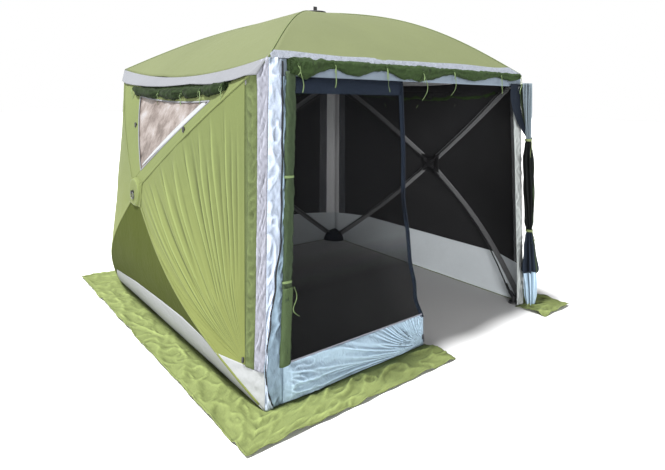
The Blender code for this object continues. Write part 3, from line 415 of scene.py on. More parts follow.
FINISHES = {
    "roof": woven("roof_green", (0.118, 0.135, 0.062), crumple=0.0014),
    # The cover's low colour is painted light: brighter towards the bottom, as if sunlit
    "cover": woven(
        "cover_green", (0.116, 0.140, 0.050), creasing=0.0025, low=(0.160, 0.180, 0.050), shine=0.15
    ),
    # Painted shade: a darker copy of the cover cloth for the low facet, which faces down
    "cover_painted_shade": woven("cover_green_painted_shade", (0.050, 0.062, 0.013), creasing=0.0050, shine=0.03),
    "skirt": woven("skirt_green", (0.140, 0.170, 0.058), crumple=0.0030, creasing=0.008),
    "dark_green": woven("storm_flap_green", (0.017, 0.030, 0.010), creasing=0.014, shine=0.10),
    "mid_green": woven("storm_fold_green", (0.026, 0.040, 0.020), creasing=0.014, shine=0.14),
    "fold_end": woven("storm_fold_end_green", (0.046, 0.070, 0.030), creasing=0.014, shine=0.14),
    "strip_green": woven("corner_green", (0.080, 0.102, 0.038), creasing=0.016),
    "grey": woven("column_grey", (0.205, 0.210, 0.246), crumple=0.0040, creasing=0.020),
    "valance": woven("valance_grey", (0.172, 0.178, 0.192), crumple=0.0020, creasing=0.004),
    "white": woven("bottom_white", (0.300, 0.310, 0.316), crumple=0.0030, creasing=0.008),
    # Painted light: a paler copy of the white trim for the mesh walls' bottoms, making up for the dim light
    # inside
    "pale": woven("screen_bottom_white_painted_light", (0.560, 0.600, 0.625), crumple=0.0016),
    "blue": woven("trim_blue", (0.300, 0.400, 0.490), crumple=0.0030, creasing=0.016),
    "jamb_blue": woven("jamb_blue", (0.175, 0.240, 0.300), crumple=0.0030, creasing=0.018),
    "jamb_pale": woven("jamb_pale", (0.370, 0.425, 0.520), crumple=0.0030, creasing=0.016),
    "bundle_blue": woven("bundle_blue", (0.105, 0.132, 0.150), creasing=0.014),
    # Painted shade: a darker copy of the trim blue for the header, which lies in the rolled flap's shadow
    "header_blue": woven("header_blue", (0.150, 0.185, 0.225), creasing=0.012),
    "band": woven("band_lilac", (0.180, 0.196, 0.228), crumple=0.0040, creasing=0.020),
    "jamb_white": woven("jamb_white", (0.300, 0.320, 0.315), creasing=0.010),
    "lining": woven("lining_grey", (0.360, 0.360, 0.365)),
    # Painted light: a much paler copy of the grey trim for the mesh walls' corner strips, making up for the
    # dim light inside
    "corner_strip_painted_light": woven("corner_strip_grey_painted_light", (0.720, 0.725, 0.735)),
    "mesh": netting("insect_mesh_black", (0.018, 0.018, 0.019), 0.95),
    "door_mesh": netting("door_mesh_black", (0.0030, 0.0032, 0.0036), 0.58, thinner=0.26),
    "navy": woven("navy_cloth", (0.010, 0.014, 0.022), creasing=0.010, shine=0.10),
    "navy_mesh": netting("navy_mesh", (0.010, 0.014, 0.022), 0.84),
    "bundle_mesh": netting("gathered_mesh_black", (0.007, 0.008, 0.008), 0.98),
    "black": webbing("black_webbing", (0.008, 0.008, 0.009)),
    "sleeve": webbing("sleeve_grey", (0.150, 0.152, 0.156)),
    "green_tape": webbing("green_tape", (0.120, 0.150, 0.056)),
    "string": webbing("string_green", (0.120, 0.175, 0.066)),
    "plastic": moulded("black_plastic", (0.014, 0.014, 0.015)),
    "rod": drawn_rod("black_rod", (0.012, 0.012, 0.013)),
    "steel": dull_metal("ring_dark", (0.10, 0.10, 0.105), 0.38),
    "zip": dull_metal("zip_dark_metal", (0.10, 0.10, 0.11), 0.35),
    "film": window_film("window_film"),
}


# Cloth in mesh form
def grid(surface, cells):
    """Rows of points of surface(u, v), u and v running 0..1."""
    across, up = cells
    return [[surface(i / across, j / up) for i in range(across + 1)] for j in range(up + 1)]


def ring(centre, first, second, count, closing=1):
    """Points round a centre, from first towards second, the last one back on the first if it closes."""
    turns = [2 * math.pi * k / count for k in range(count + closing)]
    return [centre + first * math.cos(turn) + second * math.sin(turn) for turn in turns]


def lengths_along(points):
    """How far along the row each of its points lies."""
    lengths = [0.0]
    for a, b in zip(points, points[1:]):
        lengths.append(lengths[-1] + (b - a).length)
    return lengths


def cloth(name, grids, look, outward=None, thick=CLOTH, lining=None, offset=0.0, closed=False):
    """One object from grids of points, given a thickness, with its weave laid along the grid."""
    points, faces, laid, bows = [], [], [], []
    for rows in grids:
        first, width = len(points), len(rows[0])
        run = lengths_along(rows[len(rows) // 2])
        climb = lengths_along([row[width // 2] for row in rows])
        for number, row in enumerate(rows):
            points.extend(row)
            laid.extend((run[i], climb[number]) for i in range(width))
        bows.extend(bowing(rows, run[-1] / max(1, width - 1), climb[-1] / max(1, len(rows) - 1)))
        for j in range(len(rows) - 1):
            for i in range(width - (0 if closed else 1)):
                low, nxt = first + j * width, (i + 1) % width
                faces.append((low + i, low + nxt, low + width + nxt, low + width + i))
    mesh = bpy.data.meshes.new(name)
    mesh.from_pydata(points, [], faces)
    parts = [part for bow in bows for part in bow]
    mesh.attributes.new("bow", "FLOAT_VECTOR", "POINT").data.foreach_set("vector", parts)
    weave = mesh.uv_layers.new(name="laid")
    for loop in mesh.loops:
        weave.data[loop.index].uv = laid[loop.vertex_index]
    tidy(mesh, outward)
    # The crest measure kept as 'ridge' is what the finishes paint highlights on crests and shade in valleys
    # from
    parts = [0.0] * (3 * len(mesh.vertices))
    mesh.attributes["bow"].data.foreach_get("vector", parts)
    ridge = [Vector(parts[3 * k : 3 * k + 3]).dot(corner.normal) for k, corner in enumerate(mesh.vertices)]
    mesh.attributes.remove(mesh.attributes["bow"])
    mesh.attributes.new("ridge", "FLOAT", "POINT").data.foreach_set("value", ridge)
    obj = bpy.data.objects.new(name, mesh)
    bpy.context.scene.collection.objects.link(obj)
    for side_look in (look, lining) if lining else (look,):
        mesh.materials.append(FINISHES[side_look])
    if thick:
        shell = obj.modifiers.new("thickness", "SOLIDIFY")
        shell.thickness, shell.offset = thick, offset
        if lining:
            shell.material_offset = 1
    return obj


def bowing(rows, along, across, span=0.009):
    """How far each point stands off the line between its neighbours, as a share of their distance."""
    bows = []
    wide, tall = max(1, round(span / max(1e-4, along))), max(1, round(span / max(1e-4, across)))
    for j, row in enumerate(rows):
        for i, point in enumerate(row):
            most = Vector()
            for step_i, step_j in ((wide, 0), (0, tall)):
                if not (step_i <= i < len(row) - step_i and step_j <= j < len(rows) - step_j):
                    continue
                a, b = rows[j - step_j][i - step_i], rows[j + step_j][i + step_i]
                off = (point - (a + b) / 2) / max(1e-4, (b - a).length / 2)
                if off.length_squared > most.length_squared:
                    most = off
            bows.append(most)
    return bows


def tidy(mesh, outward):
    """Joins doubled points, drops empty faces and turns the faces towards outward."""
    bm = bmesh.new()
    bm.from_mesh(mesh)
    bmesh.ops.remove_doubles(bm, verts=bm.verts, dist=2e-5)
    bmesh.ops.dissolve_degenerate(bm, edges=bm.edges, dist=1e-6)
    bm.normal_update()
    if outward is None:
        bmesh.ops.recalc_face_normals(bm, faces=bm.faces)
    else:
        facing = sum((face.normal * face.calc_area() for face in bm.faces), Vector())
        if facing.dot(outward) < 0:
            bmesh.ops.reverse_faces(bm, faces=bm.faces)
    bm.to_mesh(mesh)
    bm.free()
    mesh.shade_smooth()


def cord_piece(name, path, radius, look, sides=8):
    """A round cord or tube along the path, closed at both ends."""
    rows, normal = [], None
    for number, point in enumerate(path):
        ahead = (path[min(number + 1, len(path) - 1)] - path[max(number - 1, 0)]).normalized()
        if normal is None:
            normal = ahead.orthogonal().normalized()
        normal = (normal - ahead * normal.dot(ahead)).normalized()
        rows.append(ring(point, normal * radius, ahead.cross(normal) * radius, sides, closing=0))
    rows = [[path[0]] * sides, *rows, [path[-1]] * sides]
    return cloth(name, [rows], look, thick=0.0, closed=True)


def tape_rows(path, width, across):
    """Rows of a flat tape along the path; across(share) points to its right edge."""
    rows = []
    for number, point in enumerate(path):
        share = number / (len(path) - 1)
        size = width(share) if callable(width) else width
        rows.append([point + across(share) * (size * place) for place in (-0.5, 0.0, 0.5)])
    return rows


def wall_panel(name, side, low_line, high_line, cells, look, lift=0.0, folds=None, **how):
    """A piece of a hub wall's cloth between two broken lines drawn in flat measures."""

    def surface(u, v):
        along, height = between(along_line(low_line, u), along_line(high_line, u), v)
        return skin(side, along, height, lift + (folds(along, height, u, v) if folds else 0.0))

    return cloth(name, [grid(surface, cells)], look, outward=wall_normal(side), **how)


def wall_tape(name, side, line, width, look, lift, cells):
    """A tape sewn on a hub wall along a broken line."""

    def surface(u, v):
        here = along_line(line, v)
        before, after = along_line(line, max(0.0, v - 0.01)), along_line(line, min(1.0, v + 0.01))
        run = math.dist(before, after)
        turned = ((after[1] - before[1]) / run, -(after[0] - before[0]) / run)
        size = (width(v) if callable(width) else width) * (u - 0.5)
        return skin(side, here[0] + turned[0] * size, here[1] + turned[1] * size, lift)

    return cloth(name, [grid(surface, (4, cells))], look, outward=wall_normal(side), thick=TAPE)


# Placing the pieces, hiding the nodes they stand for, and parenting them to bodies
WALL_SLACK, ROOF_SLACK = 0.08, 0.12


def flat_place(side, corner):
    return on_wall(side, corner[0], out_at(corner[1]), corner[1])


def fold_in(piece, side, outer):
    """Bakes the piece's placement into its mesh; the blend from the outer place to the hub is worked out but
    not applied.
    """
    hub = flat_place(side, (0.0, HUB_HEIGHT))
    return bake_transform(piece, "root", f"{side}_hub", start=mix(outer, hub, WALL_SLACK), end=hub)


def follow_hub(piece, side, facet):
    """Works out where the piece would stay still on that facet's outer edge, then bakes its placement; it
    does not move with the hub.
    """
    first, last = (flat_place(side, corner) for corner in FACETS[facet][:2])
    edge = (last - first).normalized()
    hub = flat_place(side, (0.0, HUB_HEIGHT))
    return fold_in(piece, side, first + edge * (hub - first).dot(edge))


def follow_roof(piece, side):
    eave, middle = on_wall(side, 0.0, EAVE_HALF, EAVE_HEIGHT), UP * EAVE_HEIGHT
    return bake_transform(piece, "root", "roof_hub", start=mix(eave, middle, ROOF_SLACK), end=middle)


def dress(piece, slot, stands_for=None, body="root"):
    """Hides the node that the piece stands for and, if it is stiff or tied, parents it to its body; the slot
    is not used.
    """
    if stands_for:
        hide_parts(stands_for)
    if body:
        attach(piece, body)
    return piece


def cut_sheet(piece, flat, held, *rests_on):
    """Works out the area of cloth that wasn't cut to a rectangle, and the smaller of it and the flat cut's;
    neither is kept.
    """
    area = sum(face.area for face in piece.data.polygons)
    min(area, flat[0] * flat[1])


def sew(piece, side, facet, slot, flat=None, rests_on=None, stands_for=None):
    dress(piece, slot, stands_for, body=None)
    follow_hub(piece, side, facet)
    if flat:
        cut_sheet(piece, flat, "stretched", rests_on)


# Camera, light and floor
CAMERA_AT = Vector((-2.2739, -3.0517, 1.5044))
CAMERA_YAW, CAMERA_PITCH, CAMERA_ROLL = 0.892, 0.266, 0.017
FOCAL_PIXELS, PHOTO_WIDTH = 508.3, 665.0
FLOOR_HALF, FLOOR_HEIGHT = 40.0, -0.001


def make_camera():
    data = bpy.data.cameras.new("camera")
    data.sensor_width = 36.0
    data.lens = data.sensor_width * FOCAL_PIXELS / PHOTO_WIDTH
    camera = bpy.data.objects.new("camera", data)
    bpy.context.scene.collection.objects.link(camera)
    level = Vector((math.sin(CAMERA_YAW), -math.cos(CAMERA_YAW), 0.0))
    ahead = UP.cross(level) * math.cos(CAMERA_PITCH) - UP * math.sin(CAMERA_PITCH)
    over = level.cross(ahead)
    right = level * math.cos(CAMERA_ROLL) + over * math.sin(CAMERA_ROLL)
    above = over * math.cos(CAMERA_ROLL) - level * math.sin(CAMERA_ROLL)
    turn = Matrix((right, above, -ahead)).transposed().to_4x4()
    camera.matrix_world = Matrix.Translation(CAMERA_AT) @ turn
    bpy.context.scene.camera = camera


def make_light():
    """White studio, brightest round the horizon, one lamp overhead and one that reaches in at the door."""
    scene = bpy.context.scene
    scene.view_settings.view_transform = "Standard"
    world = bpy.data.worlds.new("studio")
    world.use_nodes = True
    sky = ranged(height_of(Wire(world.node_tree).node("ShaderNodeTexCoord")), 0.18, 0.55, top=0.30, foot=1.0)
    background = world.node_tree.nodes["Background"]
    background.inputs["Color"].default_value = (1.0, 1.0, 1.0, 1.0)
    feed(background, Strength=sky)
    scene.world = world
    for name, strength, spread, way in (
        ("overhead", 8.0, 9, (0.32, -0.14, -1.0)),
        ("doorway_fill", 3.1, 24, (0.58, 0.77, -0.10)),
    ):
        lamp = bpy.data.lights.new(name, "SUN")
        lamp.energy = strength
        lamp.angle = math.radians(spread)
        sun = bpy.data.objects.new(name, lamp)
        scene.collection.objects.link(sun)
        sun.rotation_euler = Vector(way).to_track_quat("-Z", "Y").to_euler()


def make_floor():
    mesh = bpy.data.meshes.new("studio_floor")
    corners = ((-1, -1), (1, -1), (1, 1), (-1, 1))
    mesh.from_pydata([(x * FLOOR_HALF, y * FLOOR_HALF, FLOOR_HEIGHT) for x, y in corners], [], [(0, 1, 2, 3)])
    floor = bpy.data.objects.new("studio_floor", mesh)
    bpy.context.scene.collection.objects.link(floor)
    made, shader, place = finish("pale_floor", Specular_IOR_Level=0.1, Roughness=0.9)
    feed(shader, Base_Color=blended(lumps(place, 1.5, 2.0), (*[0.700] * 3, 1.0), (*[0.710] * 3, 1.0)))
    mesh.materials.append(made)


# Roof
def roof_folds(side, share, cross):
    """Shallow slack between the poles and short puckers along the eave."""
    place = roof_skin(side, share, cross)
    slack = 0.006 * rough(place, 3.0, 0.30) + 0.002 * rough(place, 5.0, 0.09)
    pucker = 0.003 * rough((cross * 46.0, share * 2.0, 1.0), 7.0) * max(0.0, share - 0.75) / 0.25
    edge = min(1.0, 10.0 * hump(cross)) * min(1.0, (share - 0.05) * 6.0)
    return (slack + pucker) * edge


def pole_middle(name, stations=26):
    """Points down the middle of a bent pole, short of its fittings."""
    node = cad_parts[name]
    points = [node.matrix_world @ corner.co for corner in node.data.vertices]
    reach = [math.hypot(point.x, point.y) for point in points]
    low, high = min(reach), max(reach)
    middle = []
    for k in range(stations):
        at = mix(low, high, mix(0.09, 0.93, k / (stations - 1)))
        near = [point for point, far in zip(points, reach) if abs(far - at) < (high - low) / 30]
        if near:
            middle.append(sum(near, Vector()) / len(near))
    return middle


def make_roof():
    for side, (first, last) in WALL_ENDS.items():

        def surface(u, v, side=side):
            share = mix(1.0, HUB_HOLE / (EAVE_HALF * math.sqrt(2.0)), v)
            return roof_skin(side, share, u, roof_folds(side, share, u))

        piece = cloth(f"roof_cloth_{side}", [grid(surface, (64, 48))], "roof", outward=UP, lining="lining")
        dress(piece, "roof_cloth", f"roof_{side}", body=None)
        follow_roof(piece, side)
        pole = f"pole_roof_{first}"
        cut_sheet(piece, (2.01, 1.16), "stretched", pole, f"pole_roof_{last}")
        seam = [roof_skin(side, mix(1.0, 0.06, k / 60), 0.0, 0.0022) for k in range(61)]
        dress(cord_piece(f"roof_ridge_seam_{first}", seam, 0.0028, "green_tape"), "roof_cloth", body=pole)
        sleeve = cord_piece(f"roof_sleeve_{first}", pole_middle(pole), 0.0075, "roof", sides=12)
        dress(sleeve, "roof_cloth", body=pole)


def make_eave_band():
    """The pale band along the roof's front edge, puckered where the rolled flap hangs from it."""

    def surface(u, v):
        u = mix(0.003, 0.997, u)
        pucker = abs(0.007 * rough((u * 40.0, v * 1.5), 11.0) + 0.008 * rough((u * 13.0, v, 3.0), 13.0))
        if v < 0.4:
            down = 1.0 - v / 0.4
            drop = (0.005 + 0.005 * rough((u * 9.0, 0.0, 5.0), 3.0)) * down
            out = EAVE_HALF + 0.006 + 0.003 * math.sin(math.pi * down) + 0.5 * pucker
            return on_wall("front", EAVE_HALF * (2.0 * u - 1.0), out, EAVE_HEIGHT + 0.002 - drop)
        back = 0.048 + 0.016 * rough((u * 7.0, 0.0), 9.0)
        lift = 0.0035 + pucker * min(1.0, 4.0 * (1.0 - v))
        return roof_skin("front", 1.0 - back * (v - 0.4) / 0.6, u, lift)

    outward = on_wall("front", 0.0, 1.0, 1.0)
    piece = cloth("eave_band_front", [grid(surface, (220, 14))], "band", outward)
    dress(piece, "trim_cloth", body=None)
    follow_roof(piece, "front")
    cut_sheet(piece, (2.01, 0.085), "stretched", "roof_cloth_front")


# Hub walls of insect mesh
SCREEN_FLATS = {"top": (2.01, 0.83), "side_b": (1.68, 1.13), "low": (2.30, 0.99), "side_a": (1.68, 1.13)}
CORNER_BANDS = {"back": (0.085, 0.070), "right": (0.040, 0.065)}
SCREEN_SLACKS = {"back": 2.5, "right": 0.5}
SCREEN_BOTTOM, SCREEN_TOP = 0.295, 1.552
# The mesh walls' bottom and corner strips use paler copies of the trim cloth, which is painted light
SCREEN_LOOKS = ("mesh", "pale", "corner_strip_painted_light", "navy_mesh", "black")


def screen_look(side, along, height):
    """Which cloth a point of a mesh wall is made of."""
    strip, border = CORNER_BANDS[side]
    if height < SCREEN_BOTTOM:
        return "pale"
    if abs(along) > out_at(height) - strip:
        return "corner_strip_painted_light"
    if height > SCREEN_TOP:
        return "black"
    return "navy_mesh" if abs(along) > out_at(height) - strip - border else "mesh"


def screen_cuts(side):
    """The planes along which a mesh wall changes cloth, each a point and a normal."""
    cuts = [(on_wall(side, 0.0, 0.0, level), UP) for level in (SCREEN_BOTTOM, SCREEN_TOP)]
    for sign in (-1, 1):
        for inset in (CORNER_BANDS[side][0], sum(CORNER_BANDS[side])):
            low, high = (flat_place(side, (sign * (out_at(z) - inset), z)) for z in (0.0, EAVE_HEIGHT))
            cuts.append((low, (high - low).cross(wall_normal(side)).normalized()))
    return cuts


def make_mesh_wall(side):
    cos, sin = TURNS[side]
    seed = SCREEN_SLACKS[side]
    for facet, (start, end, _) in FACETS.items():

        def surface(u, v, start=start, end=end):
            outer, inner = between(start[:2], end[:2], u), between(toward_hub(start), toward_hub(end), u)
            along, height = between(outer, inner, v)
            height = max(HEM_RISE, height)
            fold = 0.006 * rough((along, height, seed), seed, 0.22) * hump(u) ** 0.5 * hump(v) ** 0.5
            return skin(side, along, height, fold)

        piece = cloth(f"screen_{side}_{facet}", [grid(surface, (44, 30))], "mesh", outward=wall_normal(side))
        for look in SCREEN_LOOKS[1:]:
            piece.data.materials.append(FINISHES[look])
        bm = bmesh.new()
        bm.from_mesh(piece.data)
        for point, normal in screen_cuts(side):
            everything = bm.verts[:] + bm.edges[:] + bm.faces[:]
            bmesh.ops.bisect_plane(bm, geom=everything, dist=1e-5, plane_co=point, plane_no=normal)
        for face in bm.faces:
            middle = face.calc_center_median()
            look = screen_look(side, cos * middle.x + sin * middle.y, middle.z)
            face.material_index = SCREEN_LOOKS.index(look)
        bm.to_mesh(piece.data)
        bm.free()
        piece.data.shade_smooth()
        hub, node = f"wall_hub_{side}", f"wall_{side}_{facet}"
        sew(piece, side, facet, "insect_mesh", SCREEN_FLATS[facet], hub, node)


def make_ridges(side, seam_look):
    """Tapes over the poles: a seam outside and a sleeve inside, from each corner to the hub."""
    slot = "storm_cloth" if side == "left" else "insect_mesh"
    for corner in WALL_CORNERS:
        level, start = ("top", 0.008) if corner[1] > HUB_HEIGHT else ("low", 0.030)
        pole = f"{side}_{level}_{WALL_ENDS[side][0 if corner[0] < 0 else 1]}"
        line = [between(corner[:2], toward_hub(corner), share) for share in (start, 1.0)]
        width = 0.019 if side == "left" else 0.024
        seam = wall_tape(f"ridge_seam_{pole}", side, line, width, seam_look, 0.0022, 48)
        dress(seam, slot, body=f"pole_{pole}")
        sleeve = wall_tape(f"pole_sleeve_{pole}", side, line, 0.050, "sleeve", -0.0028, 48)
        fold_in(dress(sleeve, slot, body=None), side, flat_place(side, corner))


def make_hub_patches(side, look):
    """The doubled cloth round a hub, one piece to a facet."""
    for facet, corners in FACETS.items():
        inner, outer = ([toward_hub(at, reach) for at in corners[:2]] for reach in (HUB_HOLE, PATCH_REACH))
        for name, lift in (("outer", 0.0040), ("inner", -0.0046)):
            name = f"hub_patch_{name}_{side}_{facet}"
            follow_hub(wall_panel(name, side, inner, outer, (10, 6), look, lift, thick=TAPE), side, facet)


# The cover's section, from its middle outwards: radius, and height along the wall's normal
HUB_COVER = (
    (0.0125, -0.0011), (0.040, -0.0010), (0.072, -0.0011),
    (0.0775, -0.0026), (0.0800, -0.0080), (0.089, -0.0225),
)


def make_hub_cover():
    """Green cloth sewn over the left hub's cap, open round the lug of its ring."""
    centre, level = on_wall("left", 0.0, HUB_REACH, HUB_HEIGHT), on_wall("left", 1.0, 0.0, 0.0)
    normal = wall_normal("left")
    upright = normal.cross(level)

    def surface(u, v):
        radius, lift = along_line(HUB_COVER, v)
        cos, sin = math.cos(2.0 * math.pi * u), math.sin(2.0 * math.pi * u)
        ripple = 0.0012 * rough((cos * 3.0, sin * 3.0, v), 2.0) * max(0.0, v - 0.8) * 5.0
        return centre + (level * cos + upright * sin) * radius + normal * (lift + ripple)

    piece = cloth("hub_cover_left", [grid(surface, (60, 16))], "cover", outward=normal, thick=0.0006)
    dress(piece, "storm_cloth", body="left_hub")


POCKET_RADIUS, POCKET_HEIGHT = 0.150, 0.110


def make_foot_pockets():
    """Rounded pockets of dark mesh in the back corners, over the feet."""
    for name, x in (("back_left", -1), ("back_right", 1)):
        corner = Vector((x * (BASE_HALF - 0.012), BASE_HALF - 0.012, HEM_RISE))

        def surface(u, v, corner=corner, x=x):
            turn, rise = math.pi / 2 * u, math.pi / 2 * v
            radius = POCKET_RADIUS * (1.0 + 0.04 * rough((u * 5.0, v * 3.0, x), 4.0))
            lean = Vector((-x, -1, 0.0)) * (0.0868 * POCKET_HEIGHT * math.sin(rise))
            flat = Vector((-x * math.cos(turn), -math.sin(turn), 0.0)) * (radius * math.cos(rise))
            return corner + lean + flat + UP * (POCKET_HEIGHT * math.sin(rise))

        pocket = cloth(f"foot_pocket_{name}", [grid(surface, (24, 12))], "navy_mesh", UP, THIN_CLOTH)
        dress(pocket, "insect_mesh")


# Left wall, in flat measures
WINDOW = ((-0.45, 1.512), (0.61, 1.484), (0.025, 1.068))
COVER_LOW_RIDGE = (0.866, 0.232)
COVER_CORNER = (1.028, 0.212)
STRIP_LEFT = ((0.862, 1.640), (0.876, 1.591), (0.906, 1.391), (0.952, 1.023), (0.998, 0.540), (1.028, 0.212))
STRIP_RIGHT = ((0.938, 1.664), (0.948, 1.592), (0.971, 1.394), (1.007, 1.030), (1.050, 0.552), (1.076, 0.200))
CORNER_EDGE = [(out_at(z) - EDGE_GAP, z) for z in (1.668, 1.2, 0.8, 0.4, 0.200)]
BOTTOM_TOP = (
    (-1.06, 0.074), (-0.836, 0.200), (-0.30, 0.270), (0.20, 0.300), (0.53, 0.310), (0.75, 0.285),
    COVER_LOW_RIDGE,
)
WALL_HEM = [(-BASE_HALF, HEM_RISE), (BASE_HALF, HEM_RISE)]
VALANCE_LOW = (
    (-1.0, 1.600), (-0.793, 1.575), (-0.383, 1.590), (0.0, 1.605),
    (0.25, 1.611), (0.562, 1.585), (0.775, 1.582), (0.96, 1.592),
)
VALANCE_TOP = ((-1.0, 1.6695), (0.0, 1.6695), (1.0, 1.6695))
RIDGE_TOP = (0.873, HUB_HEIGHT + (EAVE_HEIGHT - HUB_HEIGHT) * 0.873 / EAVE_HALF)
HUB_HOLES = [toward_hub(corner) for corner in WALL_CORNERS]
FAN_OUTLINE = [COVER_LOW_RIDGE, HUB_HOLES[2], HUB_HOLES[1], RIDGE_TOP, STRIP_LEFT[1]]
# Each long crease of the fan: where it runs, its size, how far it reaches and its breadth
CREASES = (
    (0.04, 0.5, 1.00, 0.9), (0.12, 0.9, 0.99, 0.7), (0.20, 0.6, 0.90, 1.2), (0.275, 1.1, 1.00, 0.7),
    (0.335, 0.6, 0.85, 0.8), (0.40, 1.2, 1.00, 0.8), (0.455, 0.6, 0.80, 0.7), (0.52, 1.0, 0.99, 0.7),
    (0.575, 0.7, 0.86, 0.7), (0.64, 1.3, 1.00, 0.9), (0.70, 0.8, 0.90, 0.6), (0.755, 1.1, 0.99, 0.7),
    (0.805, 0.7, 0.84, 0.6), (0.855, 1.0, 0.97, 0.7), (0.905, 0.7, 0.90, 0.6), (0.955, 0.8, 0.96, 0.6),
)
CREASE_WIDTH, CREASE_HEIGHT = 0.0125, 0.0170


def fan_fold(share, reach):
    """Folds of the left cover: long creases that run up from its low front corner, finer ones between."""
    width = CREASE_WIDTH / max(0.14, reach)
    sharp = 0.0
    for number, (at, size, far, broad) in enumerate(CREASES):
        wander = 0.012 * rough((number * 3.1, reach * 2.2), 5.0)
        side = (share - at - wander) / (width * broad)
        tooth = math.exp(-side * side) if side < 0 else math.exp(-((side / 2.2) ** 2))
        sharp += size * tooth * eased((far - reach) / 0.30) ** 0.7
    fine = 0.5 * rough((share * 30.0, reach * 1.2), 4.0) + 0.5 * creased((share * 38.0, reach * 1.6), 9.0)
    wide = rough((share * 7.0, reach * 0.8), 2.0)
    cross = 0.0012 * rough((share * 12.0, reach * 46.0), 14.0) * eased((share - 0.3) / 0.3)
    gather = min(1.0, (1.0 - min(1.0, reach)) / 0.10) ** 0.6 * eased(reach / 0.30)
    return (CREASE_HEIGHT * min(1.3, sharp) + 0.0050 * fine + 0.010 * wide + cross) * gather


def plain_folds(along, height, u, v):
    return 0.005 * rough((along, height, 2.0), 8.0, 0.16) * hump(u) ** 0.5 * hump(v) ** 0.5


def bottom_folds(along, height, u, v):
    return 0.006 * rough((along, height * 2.0), 3.0, 0.11) * hump(v) ** 0.5


def foot_folds(along, height, u, v):
    return 0.005 * rough((along * 1.2, height * 1.2), 5.0, 0.07) * hump(v) ** 0.5


def strip_folds(along, height, u, v):
    """The green strip lies under the fan's edge and puckers where it comes out."""
    soft = 0.010 * rough((v * 2.4 + height * 5.0, height * 11.0), 1.0)
    sharp = 0.008 * creased((v * 2.0 - height * 4.0, height * 18.0), 4.0)
    edge = min(1.0, 5.0 * (1.0 - v))
    return 0.004 * eased((v - 0.30) / 0.2) + (soft + sharp) * eased((v - 0.36) / 0.25) * edge


def column_folds(along, height, u, v):
    soft = 0.010 * rough((v * 2.0 - height * 3.0, height * 6.0), 12.0)
    sharp = 0.008 * creased((v * 2.4 - height * 13.0, height * 9.0), 15.0)
    fine = 0.0035 * rough((v * 4.0 + height * 22.0, height * 30.0), 17.0)
    return (soft + sharp + fine) * hump(v) ** 0.5


def valance_folds(along, height, u, v):
    hang = (1.0 - v) ** 1.2
    return 0.004 + 0.010 * hang + 0.007 * hang * rough((along * 9.0, height), 4.0)


def make_window():
    """The green frame round the window, one strip to each side of it, the film, their trim, and a painted
    highlight on the film.
    """
    left, right, low = WINDOW
    eave = [WALL_CORNERS[0][:2], WALL_CORNERS[1][:2]]
    loops = (
        ([left, right], eave, 60),
        ([right, low], [eave[1], HUB_HOLES[1]], 60),
        ([low, left], [HUB_HOLES[0], eave[0]], 60),
        ([low, (low[0] + 1e-4, low[1])], [HUB_HOLES[1], HUB_HOLES[0]], 6),
    )
    rows = []
    for inner, outer, cells in loops:

        def surface(u, v, inner=inner, outer=outer):
            along, height = between(along_line(inner, u), along_line(outer, u), v)
            return skin("left", along, height, 0.004 * rough((along, height), 6.0, 0.12) * hump(v) ** 0.5)

        rows.append(grid(surface, (cells, 8)))
    piece = cloth("window_frame_left", rows, "cover", outward=wall_normal("left"), lining="lining")
    sew(piece, "left", "top", "storm_cloth", SCREEN_FLATS["top"], "wall_hub_left", "wall_left_top")
    film_top = [(left[0] - 0.012, left[1] + 0.008), (right[0] + 0.012, right[1] + 0.008)]
    film_low = [(low[0] + gap, low[1] - 0.02) for gap in (-0.003, 0.003)]
    pane = wall_panel(
        "window_pane_left", "left", film_top, film_low, (40, 30), "film", lift=-0.004, thick=THIN_CLOTH
    )
    sew(pane, "left", "top", "insect_mesh", (1.09, 0.50), "window_frame_left")
    rim = [left, right, low, left]
    binding = wall_tape("window_binding_left", "left", rim, 0.009, "valance", 0.0018, 160)
    sew(binding, "left", "top", "trim_cloth")
    # Painted highlight: a pale band that tapers along the window's low right edge, standing in for light on
    # the film
    line = [(right[0] - 0.050, right[1] - 0.006), (low[0] - 0.004, low[1] + 0.030)]
    edge = wall_tape("window_film_highlight_left", "left", line, lambda v: mix(0.058, 0.012, v), "white", -0.0016, 60)
    sew(edge, "left", "top", "trim_cloth")


def make_left_covers():
    """The plain facet towards the back corner, and the low one: green above, a pale strip below."""
    foot = [WALL_HEM[0], WALL_CORNERS[0][:2]]
    rear = wall_panel(
        "cover_left_rear", "left", foot, [HUB_HOLES[3], HUB_HOLES[0]], (40, 36), "cover",
        folds=plain_folds, lining="lining",
    )
    sew(rear, "left", "side_a", "storm_cloth", SCREEN_FLATS["side_a"], "wall_hub_left", "wall_left_side_a")
    ridges = [BOTTOM_TOP[0], HUB_HOLES[3], HUB_HOLES[2], COVER_LOW_RIDGE]
    # The low facet uses the cover's darker copy, which is painted shade
    low = wall_panel(
        "cover_left_low", "left", BOTTOM_TOP, ridges, (90, 26), "cover_painted_shade",
        folds=plain_folds, lining="lining",
    )
    sew(low, "left", "low", "storm_cloth", (1.97, 0.80), "wall_hub_left", "wall_left_low")
    top = [WALL_HEM[0], *BOTTOM_TOP, WALL_HEM[1]]
    strip = wall_panel(
        "bottom_strip_left", "left", WALL_HEM, top, (110, 14), "white", lift=0.0004, folds=bottom_folds
    )
    sew(strip, "left", "low", "trim_cloth", (2.30, 0.33), "ground_skirt")


